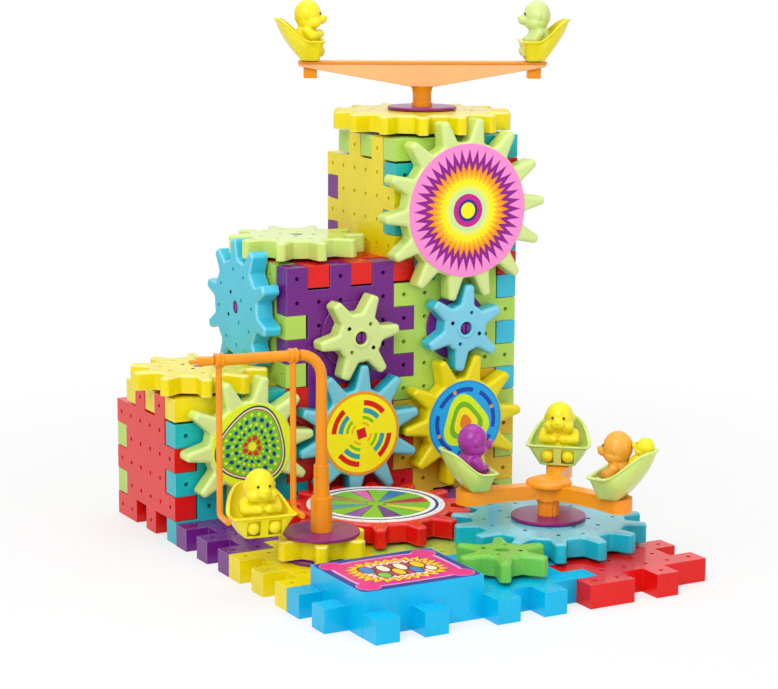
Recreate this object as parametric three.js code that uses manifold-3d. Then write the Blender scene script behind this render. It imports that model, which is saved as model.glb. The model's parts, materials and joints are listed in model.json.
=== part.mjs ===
// A building-block gear toy: notched square tiles make a base and three towers, and hubs plugged
// into the tiles carry a train of gears that a battery motor drives. A seesaw, a swing and a
// carousel ride on three of the gears. Millimetres, +Z up, +X along the front, +Y to the back.
import * as THREE from "three";
import { mergeVertices } from "three/addons/utils/BufferGeometryUtils.js";
import Module from "manifold-3d";

// The grid that every moulding follows
const pitch = 11.5; // one tooth, or one notch, along a tile's edge
const tileRelief = 1; // how much thinner a tile is than its teeth are wide
const tileThickness = pitch - tileRelief;
const tileCells = 6; // cells along a tile's side, its rim of teeth included
const motorCells = 11; // cells along the motor block's long side
const toothGap = 0.3; // clearance between a tooth and the notch round it
const fitGap = 0.3; // clearance between pieces that touch
const overrun = 1; // how far a cut runs past the face that it opens

// Gears and the hubs that hold them
const gearThickness = 8.9;
const gearChamfer = 1.2;
const toothHeight = 4; // above the pitch circle
const toothDepth = 5.2; // below the pitch circle
const toothRootWidth = 7.6;
const toothTipWidth = 4.6;
const toothTipRound = 1.3;
const gearBore = 5.8;
const pegHole = 2.6;
const labelRelief = 0.4; // how far a printed label stands off its gear
const labelLargeRadius = 32;
const labelMediumRadius = 20.3;
const hubFlangeRadius = 16.6;
const hubFlangeThickness = 0.8;
const hubFootRadius = 2.2;
const hubPinRadius = 2.5;
const hubPinRelief = 1.5; // how far the pin stays below the gear's upper face
const gearRunGap = 0.4; // between a hub's flange and its gear

// Motor block
const motorBoxHeight = 19.2;
const motorWall = 2;
const motorRoof = 1.5;
const cellRadius = 7.25; // a penlight cell
const cellLength = 50.5;
const motorWidth = 11.4;
const motorHeight = 9.6;
const motorLength = 20;
const wormRadius = 1.6;
const wormLength = 48;
const wheelThickness = 3;
const spindleRadius = 2;
const switchTravel = 4;
const switchLength = 5;
const switchHeight = 3.4;
const switchProud = 1.6;
const switchFlange = 1;

// Seats and the figures in them
const seatLipReach = 7.5; // from the middle of the floor to the lip
const seatBackReach = 18; // from the middle of the floor to the tip of the back
const seatWidth = 30;
const seatTaperShare = 0.2; // how much the rim narrows towards the tip
const seatFloorLength = 10;
const seatFloorWidth = 17.5;
const seatLipHeight = 10;
const seatBackHeight = 20.5;
const seatWall = 1.4;
const seatBulge = 2.2; // how far the hull swells beyond a straight side or back
const figureHeadRadius = 7.2;
const figureHeadHeight = 22.4; // centre of the head above the seat's underside
const figureBack = 1.5; // behind the middle of the seat's floor
const figureBodyRadius = 6;
const figureSnoutRadius = 2.7;
const figureLegRadius = 2.8;
const figureLegReach = 2;
const smallFigureBack = 14.2;
const smallFigureHeadRadius = 4.3;
const smallFigureHeadHeight = 23.4;
const smallFigureBodyRadius = 3.9;
const smallFigureBodyHeight = 16;

// Seesaw
const beamHalfLength = 61;
const beamWidth = 12;
const beamFlange = 2.6;
const beamDepth = 12.3;
const beamStemWidth = 10;
const beamTop = 22; // above the disc that the seesaw stands on
const seatPegInset = 6; // from the beam's end to the middle of the seat's peg
const seatPegRadius = 3.6;
const seatPegLength = 6;

// Swing
const poleFootRadius = 4.8;
const poleFootHeight = 15.5;
const poleCollarRadius = 3.4;
const poleCollarHeight = 30;
const poleRadius = 2.5;
const poleBendRadius = 10;
const poleTubeRadius = 2.4; // through the bend
const poleBarRadius = 1.5; // inside the hanger's sleeve
const poleEndRadius = 2; // beyond it
const poleBarHeight = 79; // above the disc that the pole stands on
const poleEndLength = 7.4; // of the bar beyond the hanger
const poleTipRadius = 0.9;
const poleTipLength = 3.5;
const ringRadius = 3.2;
const ringWidth = 4;
const sleeveRadius = 2.4;
const sleeveBore = 1.8; // radius
const hangerRodRadius = 1.35;
const hangerFootClear = 9.5; // under the hanger's feet, down to the disc
const hangerFootReach = 13;
const swingSeatClear = 2; // under the seat, down to the disc's level

// Carousel
const carouselArms = 3;
const carouselPostRadius = 4.9;
const carouselArmTop = 14.5; // above the disc that the carousel stands on
const carouselArmDepth = 6.4;
const carouselArmWidth = 7;
const carouselArmReach = 38;
const carouselEndRadius = 6.4;
const carouselSeatInset = 2; // from the middle of an arm's end to the middle of the seat's floor
const carouselCapRadius = 10.4;
const carouselCapHeight = 4;

// Disc and pegs that plug an accessory into a gear
const discRadius = 17;
const discThickness = 1.5;
const pegRadius = 1;
const pegLength = 3;

const lengthOf = {
  cells: (share) => share * pitch,
};
const wasm = await Module();
wasm.setup();

// Joining and cutting
function solidOf(geometry) {
  const bare = geometry.clone();
  bare.deleteAttribute("normal");
  bare.deleteAttribute("uv");
  const merged = mergeVertices(bare);
  return new wasm.Manifold(
    new wasm.Mesh({
      numProp: 3,
      vertProperties: merged.attributes.position.array,
      triVerts: new Uint32Array(merged.index.array),
    }),
  );
}
function geometryOf(solid) {
  const mesh = solid.getMesh();
  const geometry = new THREE.BufferGeometry();
  geometry.setAttribute("position", new THREE.BufferAttribute(mesh.vertProperties, 3));
  geometry.setIndex(new THREE.BufferAttribute(mesh.triVerts, 1));
  return geometry;
}
const joined = (...pieces) => geometryOf(pieces.map(solidOf).reduce((a, b) => a.add(b)));
const cut = (body, ...tools) =>
  geometryOf(tools.map(solidOf).reduce((a, b) => a.subtract(b), solidOf(body)));
const moved = (geometry, x, y, z) => geometry.clone().translate(x, y, z);

// Plain forms, all standing on z = 0 unless they say otherwise
const upright = (geometry) => geometry.rotateX(Math.PI / 2);
const rod = (radius, length, sides = 12) =>
  upright(new THREE.CylinderGeometry(radius, radius, length, sides)).translate(0, 0, length / 2);
const block = (x, y, z) => new THREE.BoxGeometry(x, y, z).translate(0, 0, z / 2);
const turnedForm = (profile, sides = 16) =>
  new THREE.LatheGeometry(profile.map(([r, z]) => new THREE.Vector2(r, z)), sides).rotateX(Math.PI / 2);
const outline = (points) => new THREE.Shape(points.map(([x, y]) => new THREE.Vector2(x, y)));
const plate = (shape, thickness) =>
  new THREE.ExtrudeGeometry(shape, { depth: thickness, bevelEnabled: false, curveSegments: 8 });
const corners = (spread) => [1, -1].flatMap((x) => [1, -1].map((y) => [x * spread, y * spread]));

// Materials, one for each moulding colour
const colours = {
  purple: 0x7b1f8a, yellow: 0xf5e000, red: 0xe2000f, lime: 0xb5dc6a, teal: 0x12bccb, cyan: 0x7fdbe8,
  amber: 0xf0b414, blue: 0x00b4f0, green: 0x3fb84b, orange: 0xf58a0a, steel: 0x9a9da0, dark: 0x222428,
};
const plastic = (colour) =>
  new THREE.MeshStandardMaterial({ color: colours[colour], roughness: 0.35, metalness: 0 });
const metal = (colour) =>
  new THREE.MeshStandardMaterial({ color: colours[colour], roughness: 0.4, metalness: 0.8 });

// Faces that tiles and hubs lie on: right and up as seen from outside, and the way out
const axes = (right, up) => {
  const r = new THREE.Vector3(...right);
  const u = new THREE.Vector3(...up);
  const out = new THREE.Vector3().crossVectors(r, u);
  return { right: r, up: u, out, turn: new THREE.Matrix4().makeBasis(r, u, out) };
};
const faces = {
  top: axes([1, 0, 0], [0, 1, 0]),
  front: axes([1, 0, 0], [0, 0, 1]),
  left: axes([0, -1, 0], [0, 0, 1]),
  back: axes([-1, 0, 0], [0, 0, 1]),
  right: axes([0, 1, 0], [0, 0, 1]),
};
const toy = new THREE.Group();
function place(name, geometry, material, face, spot, parent = toy) {
  const mesh = new THREE.Mesh(geometry, material);
  mesh.name = name;
  mesh.position.copy(spot);
  mesh.quaternion.setFromRotationMatrix(face.turn);
  parent.add(mesh);
  return mesh;
}
const gridSpot = (shares) => new THREE.Vector3(...shares.map(lengthOf.cells));
const off = (spot, face, distance) => spot.clone().addScaledVector(face.out, distance);

// A tile's rim, walked clockwise as seen from outside. Each side reads notch, tooth, notch, tooth.
// The side named in cornerSide ends in a tooth that also fills the corner.
function tileShape(columns, rows, cornerSide) {
  const width = lengthOf.cells(columns);
  const height = lengthOf.cells(rows);
  const sides = [
    { name: "top", start: [0, height], along: [1, 0], out: [0, 1], cells: columns },
    { name: "right", start: [width, height], along: [0, -1], out: [1, 0], cells: rows },
    { name: "bottom", start: [width, 0], along: [-1, 0], out: [0, -1], cells: columns },
    { name: "left", start: [0, 0], along: [0, 1], out: [-1, 0], cells: rows },
  ];
  const points = [];
  for (const { name, start, along, out, cells } of sides) {
    const add = (distance, proud) =>
      points.push(start.map((s, i) => s + along[i] * distance + out[i] * (proud - pitch)));
    const ends = name === cornerSide;
    const last = cells - 2;
    for (let first = 2; first <= last; first += first % 5 === 2 ? 2 : 3) {
      const fills = ends && first === last;
      const near = lengthOf.cells(first) + toothGap / 2;
      const far = fills ? lengthOf.cells(cells) - toothGap : lengthOf.cells(first + 1) - toothGap / 2;
      add(near, 0);
      add(near, pitch - toothGap);
      add(far, pitch - toothGap);
      add(far, fills ? toothGap / 2 : 0);
      if (fills) add(lengthOf.cells(cells - 1), toothGap / 2);
    }
    if (!ends) add(lengthOf.cells(cells - 1), 0);
  }
  return outline(points);
}

// A hub: a thin flange on four feet, and a pin that a gear turns on. Its feet are in the tile.
function hubGeometry(feet, pinTop) {
  const footDepth = fitGap + hubFootRadius;
  return joined(
    moved(rod(hubFlangeRadius, hubFlangeThickness, 20), 0, 0, fitGap),
    moved(rod(hubPinRadius, pinTop - fitGap, 10), 0, 0, fitGap),
    ...feet.map(([x, y]) =>
      moved(rod(hubFootRadius, footDepth + hubFlangeThickness / 2, 6), x, y, fitGap - footDepth),
    ),
  );
}
const gearSeat = fitGap + hubFlangeThickness + gearRunGap;
const gearTop = gearSeat + gearThickness;
const footSpread = pitch / 2;

// Where each gear sits: centre in grid cells, the face it lies on, and what drives it. A gear
// that meets its driver at a right angle gives the point where the two pitch circles cross.
const gearPlan = [
  { name: "carousel_gear", teeth: 14, face: "top", cellShares: [12, -9, 0], base: true, turn: 1.124 },
  { name: "drive_gear", teeth: 6, face: "top", cellShares: [8, -12, 0], base: true, by: "carousel_gear" },
  { name: "idler_gear", teeth: 14, face: "top", cellShares: [7, -4, 0], base: true, by: "carousel_gear",
    label: labelLargeRadius },
  { name: "swing_gear", teeth: 6, face: "top", cellShares: [3, -7, 0], base: true, by: "idler_gear" },
  { name: "mid_tower_lower_gear", teeth: 10, face: "front", cellShares: [8, 0, 4], by: "idler_gear",
    meetShares: [7.5, -0.5, 1.5], label: labelMediumRadius },
  { name: "low_tower_front_gear", teeth: 10, face: "front", cellShares: [3, 0, 4],
    by: "mid_tower_lower_gear", label: labelMediumRadius },
  { name: "high_tower_lower_gear", teeth: 10, face: "front", cellShares: [13, 0, 4],
    by: "mid_tower_lower_gear", label: labelMediumRadius },
  { name: "mid_tower_upper_gear", teeth: 6, face: "front", cellShares: [8, 0, 8],
    by: "mid_tower_lower_gear" },
  { name: "high_tower_middle_gear", teeth: 6, face: "front", cellShares: [13, 0, 8],
    by: "high_tower_lower_gear" },
  { name: "high_tower_upper_gear", teeth: 14, face: "front", cellShares: [13, 0, 13],
    by: "high_tower_middle_gear", label: labelLargeRadius },
  { name: "seesaw_gear", teeth: 14, face: "top", cellShares: [13, 3, 16], by: "high_tower_upper_gear",
    meetShares: [13, -0.5, 16.5] },
  { name: "low_tower_top_gear", teeth: 10, face: "top", cellShares: [2, 2, 6],
    by: "low_tower_front_gear", meetShares: [2.5, -0.5, 6.5] },
  { name: "mid_tower_side_gear", teeth: 10, face: "left", cellShares: [5, 3, 9],
    by: "low_tower_top_gear", meetShares: [4.5, 2.5, 6.5] },
  { name: "mid_tower_top_gear", teeth: 10, face: "top", cellShares: [7, 3, 11],
    by: "mid_tower_side_gear", meetShares: [4.5, 3, 11.5] },
];
const gearColours = {
  carousel_gear: "teal", drive_gear: "green", idler_gear: "red", swing_gear: "yellow",
  mid_tower_lower_gear: "teal", low_tower_front_gear: "lime", high_tower_lower_gear: "yellow",
  mid_tower_upper_gear: "lime", high_tower_middle_gear: "cyan", high_tower_upper_gear: "lime",
  seesaw_gear: "yellow", low_tower_top_gear: "yellow", mid_tower_side_gear: "cyan",
  mid_tower_top_gear: "lime",
};

// Turn each gear so that its teeth stand in its driver's notches
const gearAt = {};
const toothAngle = (gear) => (2 * Math.PI) / gear.teeth;
const directionTo = (gear, spot) => {
  const step = spot.clone().sub(gear.spot);
  return Math.atan2(step.dot(faces[gear.face].up), step.dot(faces[gear.face].right));
};
for (const gear of gearPlan) {
  gearAt[gear.name] = gear;
  gear.spot = gridSpot(gear.cellShares);
  if (gear.base) gear.spot.z = tileThickness;
  if (!gear.by) continue;
  const driver = gearAt[gear.by];
  const meet = gear.meetShares && gridSpot(gear.meetShares);
  const fromDriver = directionTo(driver, meet ?? gear.spot) - driver.turn;
  const toDriver = directionTo(gear, meet ?? driver.spot);
  gear.turn = toDriver + (fromDriver / toothAngle(driver) - 0.5) * toothAngle(gear);
}

// A gear: straight-sided teeth with rounded ends, chamfered edges, a bore for the hub's pin and
// four small holes for an accessory's pegs. A labelled gear's bore is blind.
function gearGeometry(teeth, labelRadius) {
  const pitchRadius = (teeth * pitch) / 4;
  const root = pitchRadius - toothDepth;
  const tip = pitchRadius + toothHeight;
  const shoulder = tip - toothTipRound;
  const taper = (toothRootWidth - toothTipWidth) / (tip - root);
  const flank = [
    [root, toothRootWidth],
    [shoulder, toothRootWidth - taper * (shoulder - root)],
    [tip, toothTipWidth - 2 * toothTipRound],
  ].map(([radius, width]) => [radius, Math.asin(width / 2 / radius)]);
  const points = [];
  for (let tooth = 0; tooth < teeth; tooth++) {
    const middle = (tooth * 2 * Math.PI) / teeth;
    const around = [...flank.map(([r, a]) => [r, -a]), ...flank.map(([r, a]) => [r, a]).reverse()];
    for (const [radius, angle] of around)
      points.push([radius * Math.cos(middle + angle), radius * Math.sin(middle + angle)]);
  }
  const blank = new THREE.ExtrudeGeometry(outline(points), {
    depth: gearThickness - 2 * gearChamfer,
    bevelThickness: gearChamfer,
    bevelSize: gearChamfer,
    bevelOffset: -gearChamfer,
    bevelSegments: 1,
  }).translate(0, 0, gearChamfer);
  const boreTop = labelRadius ? gearThickness - hubPinRelief + gearRunGap : gearThickness + overrun;
  const bore = moved(rod(gearBore / 2, boreTop + overrun, 10), 0, 0, -overrun);
  const holes = corners(footSpread).map(([x, y]) =>
    moved(rod(pegHole / 2, gearThickness + 2 * overrun, 6), x, y, -overrun),
  );
  if (!labelRadius) return cut(blank, bore, ...holes);
  const label = moved(rod(labelRadius, 2 * labelRelief, 28), 0, 0, gearThickness - labelRelief);
  return cut(joined(blank, label), bore);
}

// A body that moves gets a group of its own at the gear's centre, so what it carries turns with it
const gearGroups = {};
for (const gear of gearPlan) {
  const face = faces[gear.face];
  const group = new THREE.Group();
  group.position.copy(off(gear.spot, face, gearSeat));
  group.quaternion.setFromRotationMatrix(face.turn);
  toy.add(group);
  gearGroups[gear.name] = group;
  const mesh = new THREE.Mesh(gearGeometry(gear.teeth, gear.label), plastic(gearColours[gear.name]));
  mesh.name = gear.name;
  mesh.rotation.z = gear.turn;
  group.add(mesh);
}

// Tiles: the face each lies on, its corner nearest the lower left as seen from outside, in cells,
// and the side that fills a corner. A gear named here has its hub on the tile.
const tilePlan = [
  { name: "base_tile_left_back", colour: "purple", face: "top", cellShares: [0, -5, 0], base: true },
  { name: "base_tile_left_front", colour: "yellow", face: "top", cellShares: [0, -10, 0], base: true,
    gears: ["swing_gear"] },
  { name: "base_tile_mid_back", colour: "red", face: "top", cellShares: [5, -5, 0], base: true,
    gears: ["idler_gear"] },
  { name: "base_tile_mid_front", colour: "lime", face: "top", cellShares: [5, -10, 0], base: true },
  { name: "base_tile_right_back", colour: "purple", face: "top", cellShares: [10, -5, 0], base: true },
  { name: "base_tile_right_mid", colour: "teal", face: "top", cellShares: [10, -10, 0], base: true,
    gears: ["carousel_gear"] },
  { name: "base_tile_right_front", colour: "red", face: "top", cellShares: [10, -15, 0], base: true },
  { name: "low_tower_left_wall", colour: "red", face: "left", cellShares: [0, 6, 0] },
  { name: "low_tower_front_wall", colour: "teal", face: "front", cellShares: [0, 0, 0],
    gears: ["low_tower_front_gear"] },
  { name: "low_tower_back_wall", colour: "lime", face: "back", cellShares: [6, 6, 0] },
  { name: "low_tower_top", colour: "yellow", face: "top", cellShares: [0, 0, 6],
    gears: ["low_tower_top_gear"] },
  { name: "mid_tower_front_lower_wall", colour: "red", face: "front", cellShares: [5, 0, 0],
    corner: "left", gears: ["mid_tower_lower_gear"] },
  { name: "mid_tower_front_upper_wall", colour: "purple", face: "front", cellShares: [5, 0, 5],
    corner: "left", gears: ["mid_tower_upper_gear"] },
  { name: "mid_tower_left_wall", colour: "lime", face: "left", cellShares: [5, 6, 5],
    gears: ["mid_tower_side_gear"] },
  { name: "mid_tower_back_lower_wall", colour: "yellow", face: "back", cellShares: [11, 6, 0] },
  { name: "mid_tower_back_upper_wall", colour: "teal", face: "back", cellShares: [11, 6, 5] },
  { name: "mid_tower_top", colour: "red", face: "top", cellShares: [5, 0, 11], corner: "right",
    gears: ["mid_tower_top_gear"] },
  { name: "high_tower_front_lower_wall", colour: "amber", face: "front", cellShares: [10, 0, 0],
    gears: ["high_tower_lower_gear"] },
  { name: "high_tower_front_middle_wall", colour: "lime", face: "front", cellShares: [10, 0, 5],
    gears: ["high_tower_middle_gear"] },
  { name: "high_tower_front_upper_wall", colour: "teal", face: "front", cellShares: [10, 0, 10],
    corner: "top", gears: ["high_tower_upper_gear"] },
  { name: "high_tower_left_wall", colour: "yellow", face: "left", cellShares: [10, 6, 10] },
  { name: "high_tower_back_lower_wall", colour: "red", face: "back", cellShares: [16, 6, 0] },
  { name: "high_tower_back_middle_wall", colour: "amber", face: "back", cellShares: [16, 6, 5] },
  { name: "high_tower_back_upper_wall", colour: "purple", face: "back", cellShares: [16, 6, 10] },
  { name: "high_tower_right_lower_wall", colour: "lime", face: "right", cellShares: [16, 0, 0] },
  { name: "high_tower_right_middle_wall", colour: "cyan", face: "right", cellShares: [16, 0, 5] },
  { name: "high_tower_right_upper_wall", colour: "red", face: "right", cellShares: [16, 0, 10] },
  { name: "high_tower_top", colour: "lime", face: "top", cellShares: [10, 0, 16],
    gears: ["seesaw_gear"] },
];
const tileSpot = (tile) => {
  const spot = gridSpot(tile.cellShares);
  if (tile.base) spot.z = tileThickness;
  return spot;
};
for (const tile of tilePlan) {
  const face = faces[tile.face];
  const spot = tileSpot(tile);
  const shape = tileShape(tileCells, tileCells, tile.corner ?? "bottom");
  const pieces = [moved(plate(shape, tileThickness), 0, 0, -tileThickness)];
  for (const name of tile.gears ?? []) {
    const gear = gearAt[name];
    const centre = gear.spot.clone().sub(spot);
    const x = centre.dot(face.right);
    const y = centre.dot(face.up);
    const held = corners(footSpread).filter(([dx, dy]) => y + dy > pitch || dx < 0);
    const pinTop = gearTop - (gear.label ? hubPinRelief : 0);
    pieces.push(moved(hubGeometry(held, pinTop), x, y, 0));
  }
  place(tile.name, joined(...pieces), plastic(tile.colour), face, spot);
}

// Motor block: a low plate with the tile's teeth round it and a raised box for the cells and motor
const motorGroup = new THREE.Group();
motorGroup.position.copy(gridSpot([0, -15, 0]));
toy.add(motorGroup);
function motorPiece(name, geometry, material, parent = motorGroup) {
  const mesh = new THREE.Mesh(geometry, material);
  mesh.name = name;
  parent.add(mesh);
  return mesh;
}
const boxLeft = lengthOf.cells(1);
const boxRight = lengthOf.cells(tileCells);
const blockRight = lengthOf.cells(motorCells - 1);
const blockFront = lengthOf.cells(1);
const blockBack = lengthOf.cells(tileCells - 1);
const blockDepth = blockBack - blockFront;
const boxMiddle = (boxLeft + boxRight) / 2;
const blockMiddle = (blockFront + blockBack) / 2;
const chamberWidth = boxRight - boxLeft - 2 * motorWall;
const chamberDepth = blockDepth - 2 * motorWall;
const gearboxRight = blockRight - motorWall;
const gearboxLeft = boxRight - 2 * motorWall;
const spindleSpot = gearAt.drive_gear.spot.clone().sub(motorGroup.position);
const switchSpot = boxMiddle + chamberWidth / 4;
const switchLow = motorBoxHeight - motorRoof - switchFlange - fitGap - switchHeight;
const chamber = (x0, x1, y0, y1, z0, z1) =>
  moved(block(x1 - x0, y1 - y0, z1 - z0), (x0 + x1) / 2, (y0 + y1) / 2, z0);
const housing = cut(
  joined(
    plate(tileShape(motorCells, tileCells, "none"), tileThickness),
    moved(block(boxRight - boxLeft, blockDepth, motorBoxHeight - fitGap), boxMiddle, blockMiddle, fitGap),
  ),
  chamber(boxLeft + motorWall, boxRight - motorWall, blockFront + motorWall, blockBack - motorWall,
    -overrun, motorBoxHeight - motorRoof),
  chamber(gearboxLeft, gearboxRight, blockFront + motorWall, blockBack - motorWall,
    -overrun, tileThickness - motorRoof),
  moved(rod(spindleRadius + gearRunGap, motorBoxHeight, 12), spindleSpot.x, spindleSpot.y, 0),
  moved(block(switchLength + switchTravel + 2 * fitGap, 2 * blockDepth, switchHeight + 2 * fitGap),
    switchSpot, blockBack + blockDepth / 2, switchLow - fitGap),
);
motorPiece("motor_housing", housing, plastic("blue"));
motorPiece("battery_cover",
  chamber(boxLeft + motorWall + fitGap, gearboxRight - fitGap, blockFront + motorWall + fitGap,
    blockBack - motorWall - fitGap, 0, motorWall), plastic("blue"));
const cellMiddle = (row) => blockFront + motorWall + cellRadius + fitGap + row * (2 * cellRadius + fitGap);
const cellAt = (row) =>
  moved(rod(cellRadius, cellLength, 20).rotateY(Math.PI / 2), boxMiddle - cellLength / 2,
    cellMiddle(row), motorWall + fitGap + cellRadius);
const contactStrip = moved(block(motorWall / 2, 3 * cellRadius, cellRadius), boxMiddle - cellLength / 2,
  (cellMiddle(0) + cellMiddle(1)) / 2, motorWall + fitGap + cellRadius / 2);
motorPiece("battery_pair", joined(cellAt(0), cellAt(1), contactStrip), metal("dark"));
const motorLow = motorWall + fitGap;
const motorSide = blockBack - motorWall - fitGap - motorWidth / 2;
const wormHeight = motorLow + motorHeight / 2;
motorPiece("motor", joined(
  moved(block(motorLength, motorWidth, motorHeight), boxMiddle, motorSide, motorLow),
  moved(rod(wormRadius, wormLength, 10).rotateY(Math.PI / 2), boxMiddle, motorSide, wormHeight),
), metal("steel"));
const wheelRadius = motorSide - spindleSpot.y - wormRadius - fitGap;
const wheelLow = wormHeight - wheelThickness / 2;
const driveGroup = gearGroups.drive_gear;
const spindleTop = tileThickness + gearSeat - fitGap;
const spindle = joined(
  moved(rod(wheelRadius, wheelThickness, 20), 0, 0, wheelLow),
  moved(rod(spindleRadius, spindleTop - wheelLow, 12), 0, 0, wheelLow),
);
motorPiece("drive_spindle", moved(spindle, 0, 0, -driveGroup.position.z), plastic("steel"), driveGroup);
const knob = joined(
  moved(block(switchLength, motorWall + fitGap + switchProud + switchFlange, switchHeight), 0,
    (switchProud - motorWall - fitGap - switchFlange) / 2, 0),
  moved(block(switchLength + 2 * switchFlange, switchFlange, switchHeight + 2 * switchFlange), 0,
    -motorWall - fitGap - switchFlange / 2, -switchFlange),
);
motorPiece("power_switch",
  moved(knob, switchSpot - switchTravel / 2, blockBack, switchLow), plastic("dark"));

// A seat: an open hull with a low lip in front and a pointed back. It faces -X and its floor's
// underside is on z = 0.
const seatPoints = 16;
function seatRing(inset, share) {
  const ring = [];
  for (let i = 0; i < seatPoints; i++) {
    const angle = ((i + 0.5) * 2 * Math.PI) / seatPoints;
    const ahead = Math.cos(angle);
    const aside = Math.sin(angle);
    const square = Math.max(Math.abs(ahead), Math.abs(aside));
    const rimAhead = ahead > 0 ? ahead : ahead / square;
    const rimAside = ahead > 0 ? aside : aside / square;
    const taper = ahead > 0 ? 1 - seatTaperShare * ahead * ahead : 1;
    const rim = [
      rimAhead * ((ahead > 0 ? seatBackReach : seatLipReach) - inset),
      rimAside * (seatWidth / 2 - inset) * taper,
    ];
    const floor = [
      (ahead / square) * (seatFloorLength / 2 - inset),
      (aside / square) * (seatFloorWidth / 2 - inset),
    ];
    const swell = share * (1 - share) * 4 * seatBulge;
    const climb = THREE.MathUtils.smoothstep(ahead, 0, 1);
    const rimHeight = seatLipHeight + (seatBackHeight - seatLipHeight) * climb;
    ring.push([
      floor[0] + (rim[0] - floor[0]) * share + swell * Math.max(ahead, 0),
      floor[1] + (rim[1] - floor[1]) * share + swell * aside,
      rimHeight * share,
    ]);
  }
  return ring;
}
function seatGeometry() {
  const shares = [0, 0.5, 1];
  const outer = shares.map((share) => seatRing(0, share));
  const inner = shares.map((share) =>
    seatRing(seatWall, share).map(([x, y, z]) => [x, y, Math.max(z, seatWall)]),
  );
  const rings = [...outer, ...inner.reverse()];
  const points = rings.flat();
  const faceList = [];
  for (let r = 0; r + 1 < rings.length; r++)
    for (let i = 0; i < seatPoints; i++) {
      const next = (i + 1) % seatPoints;
      const [a, b, c, d] = [
        r * seatPoints + i, r * seatPoints + next, (r + 1) * seatPoints + next, (r + 1) * seatPoints + i,
      ];
      faceList.push(a, b, c, a, c, d);
    }
  const last = (rings.length - 1) * seatPoints;
  for (let i = 1; i + 1 < seatPoints; i++)
    faceList.push(0, i + 1, i, last, last + i, last + i + 1);
  const geometry = new THREE.BufferGeometry();
  geometry.setAttribute("position", new THREE.Float32BufferAttribute(points.flat(), 3));
  geometry.setIndex(faceList);
  return geometry;
}

// A figure: round head with a snout, a pear-shaped body and two legs. It sits over the seat's floor,
// or sinks into it where the two are one moulding.
const ball = (radius, x, y, z, stretch = [1, 1, 1], sides = 10) =>
  moved(upright(new THREE.SphereGeometry(radius, sides, sides / 2 + 1)).scale(...stretch), x, y, z);
function figureGeometry(lift) {
  const floor = seatWall + lift;
  const bodyMiddle = (figureHeadHeight + floor) / 2;
  const bodyStretch = [1, 1, (bodyMiddle - floor) / figureBodyRadius];
  return joined(
    ball(figureHeadRadius, figureBack, 0, figureHeadHeight),
    ball(figureSnoutRadius, figureBack - figureHeadRadius, 0, figureHeadHeight - figureSnoutRadius / 2,
      [1, 1, 1], 6),
    ball(figureBodyRadius, figureBack, 0, bodyMiddle, bodyStretch),
    ...[1, -1].map((side) =>
      ball(figureLegRadius, figureBack - figureLegReach, (side * figureBodyRadius) / 2,
        floor + figureLegRadius, [1.3, 1, 1], 6),
    ),
  );
}

// A smaller figure perches on the back of one seat, behind the rider
const smallFigureParts = () => [
  ball(smallFigureHeadRadius, smallFigureBack, 0, smallFigureHeadHeight),
  ball(smallFigureBodyRadius, smallFigureBack, 0, smallFigureBodyHeight, [1, 1, 1.1]),
];
const riderGeometry = (...others) =>
  joined(seatGeometry(), figureGeometry(-seatWall / 2), ...others);

// An accessory stands on a disc with pegs that go into the gear's small holes, wherever it heads
const discTop = gearThickness + fitGap + discThickness;
function accessory(gearName, heading) {
  const group = new THREE.Group();
  group.rotation.z = THREE.MathUtils.degToRad(heading);
  gearGroups[gearName].add(group);
  return group;
}
const discFor = (group, gearName) =>
  joined(
    moved(rod(discRadius, discThickness, 20), 0, 0, gearThickness + fitGap),
    ...corners(footSpread).map(([x, y]) =>
      moved(rod(pegRadius, pegLength + fitGap + discThickness / 2, 6), x, y, gearThickness - pegLength)
        .rotateZ(gearAt[gearName].turn - group.rotation.z),
    ),
  );
function ride(group, name, geometry, material) {
  const mesh = new THREE.Mesh(geometry, material);
  mesh.name = name;
  group.add(mesh);
  return mesh;
}

// Seesaw: a flanged beam, deepest over its stem, with a seat pegged on each end
const seesaw = accessory("seesaw_gear", -26);
const beamUnder = discTop + beamTop - beamFlange;
const seatSeesawReach = beamHalfLength - seatPegInset;
const web = plate(outline([
  [-beamHalfLength + beamWidth / 2, overrun], [-beamHalfLength + beamWidth / 2, 0],
  [-beamStemWidth / 2, beamFlange - beamDepth], [beamStemWidth / 2, beamFlange - beamDepth],
  [beamHalfLength - beamWidth / 2, 0], [beamHalfLength - beamWidth / 2, overrun],
]), beamWidth - 2 * beamFlange).rotateX(Math.PI / 2);
const beamStem = rod(beamStemWidth / 2, beamTop - beamDepth + overrun);
ride(seesaw, "seesaw_beam", joined(
  discFor(seesaw, "seesaw_gear"),
  moved(beamStem, 0, 0, discTop - discThickness / 2),
  moved(web, 0, beamWidth / 2 - beamFlange, beamUnder),
  moved(block(2 * beamHalfLength, beamWidth, beamFlange), 0, 0, beamUnder),
  ...[1, -1].map((side) =>
    moved(rod(seatPegRadius, seatPegLength + beamFlange / 2, 12), side * seatSeesawReach, 0,
      beamUnder - seatPegLength)),
), plastic("orange"));
for (const [side, name, seatFacing] of [[-1, "left", Math.PI], [1, "right", 0]]) {
  const holder = new THREE.Group();
  holder.position.set(side * seatSeesawReach, 0, discTop + beamTop + fitGap);
  holder.rotation.z = seatFacing;
  seesaw.add(holder);
  ride(holder, "seesaw_" + name + "_seat", seatGeometry(), plastic("yellow"));
  ride(holder, "seesaw_" + name + "_figure", figureGeometry(fitGap), plastic(side < 0 ? "yellow" : "lime"));
}

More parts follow.
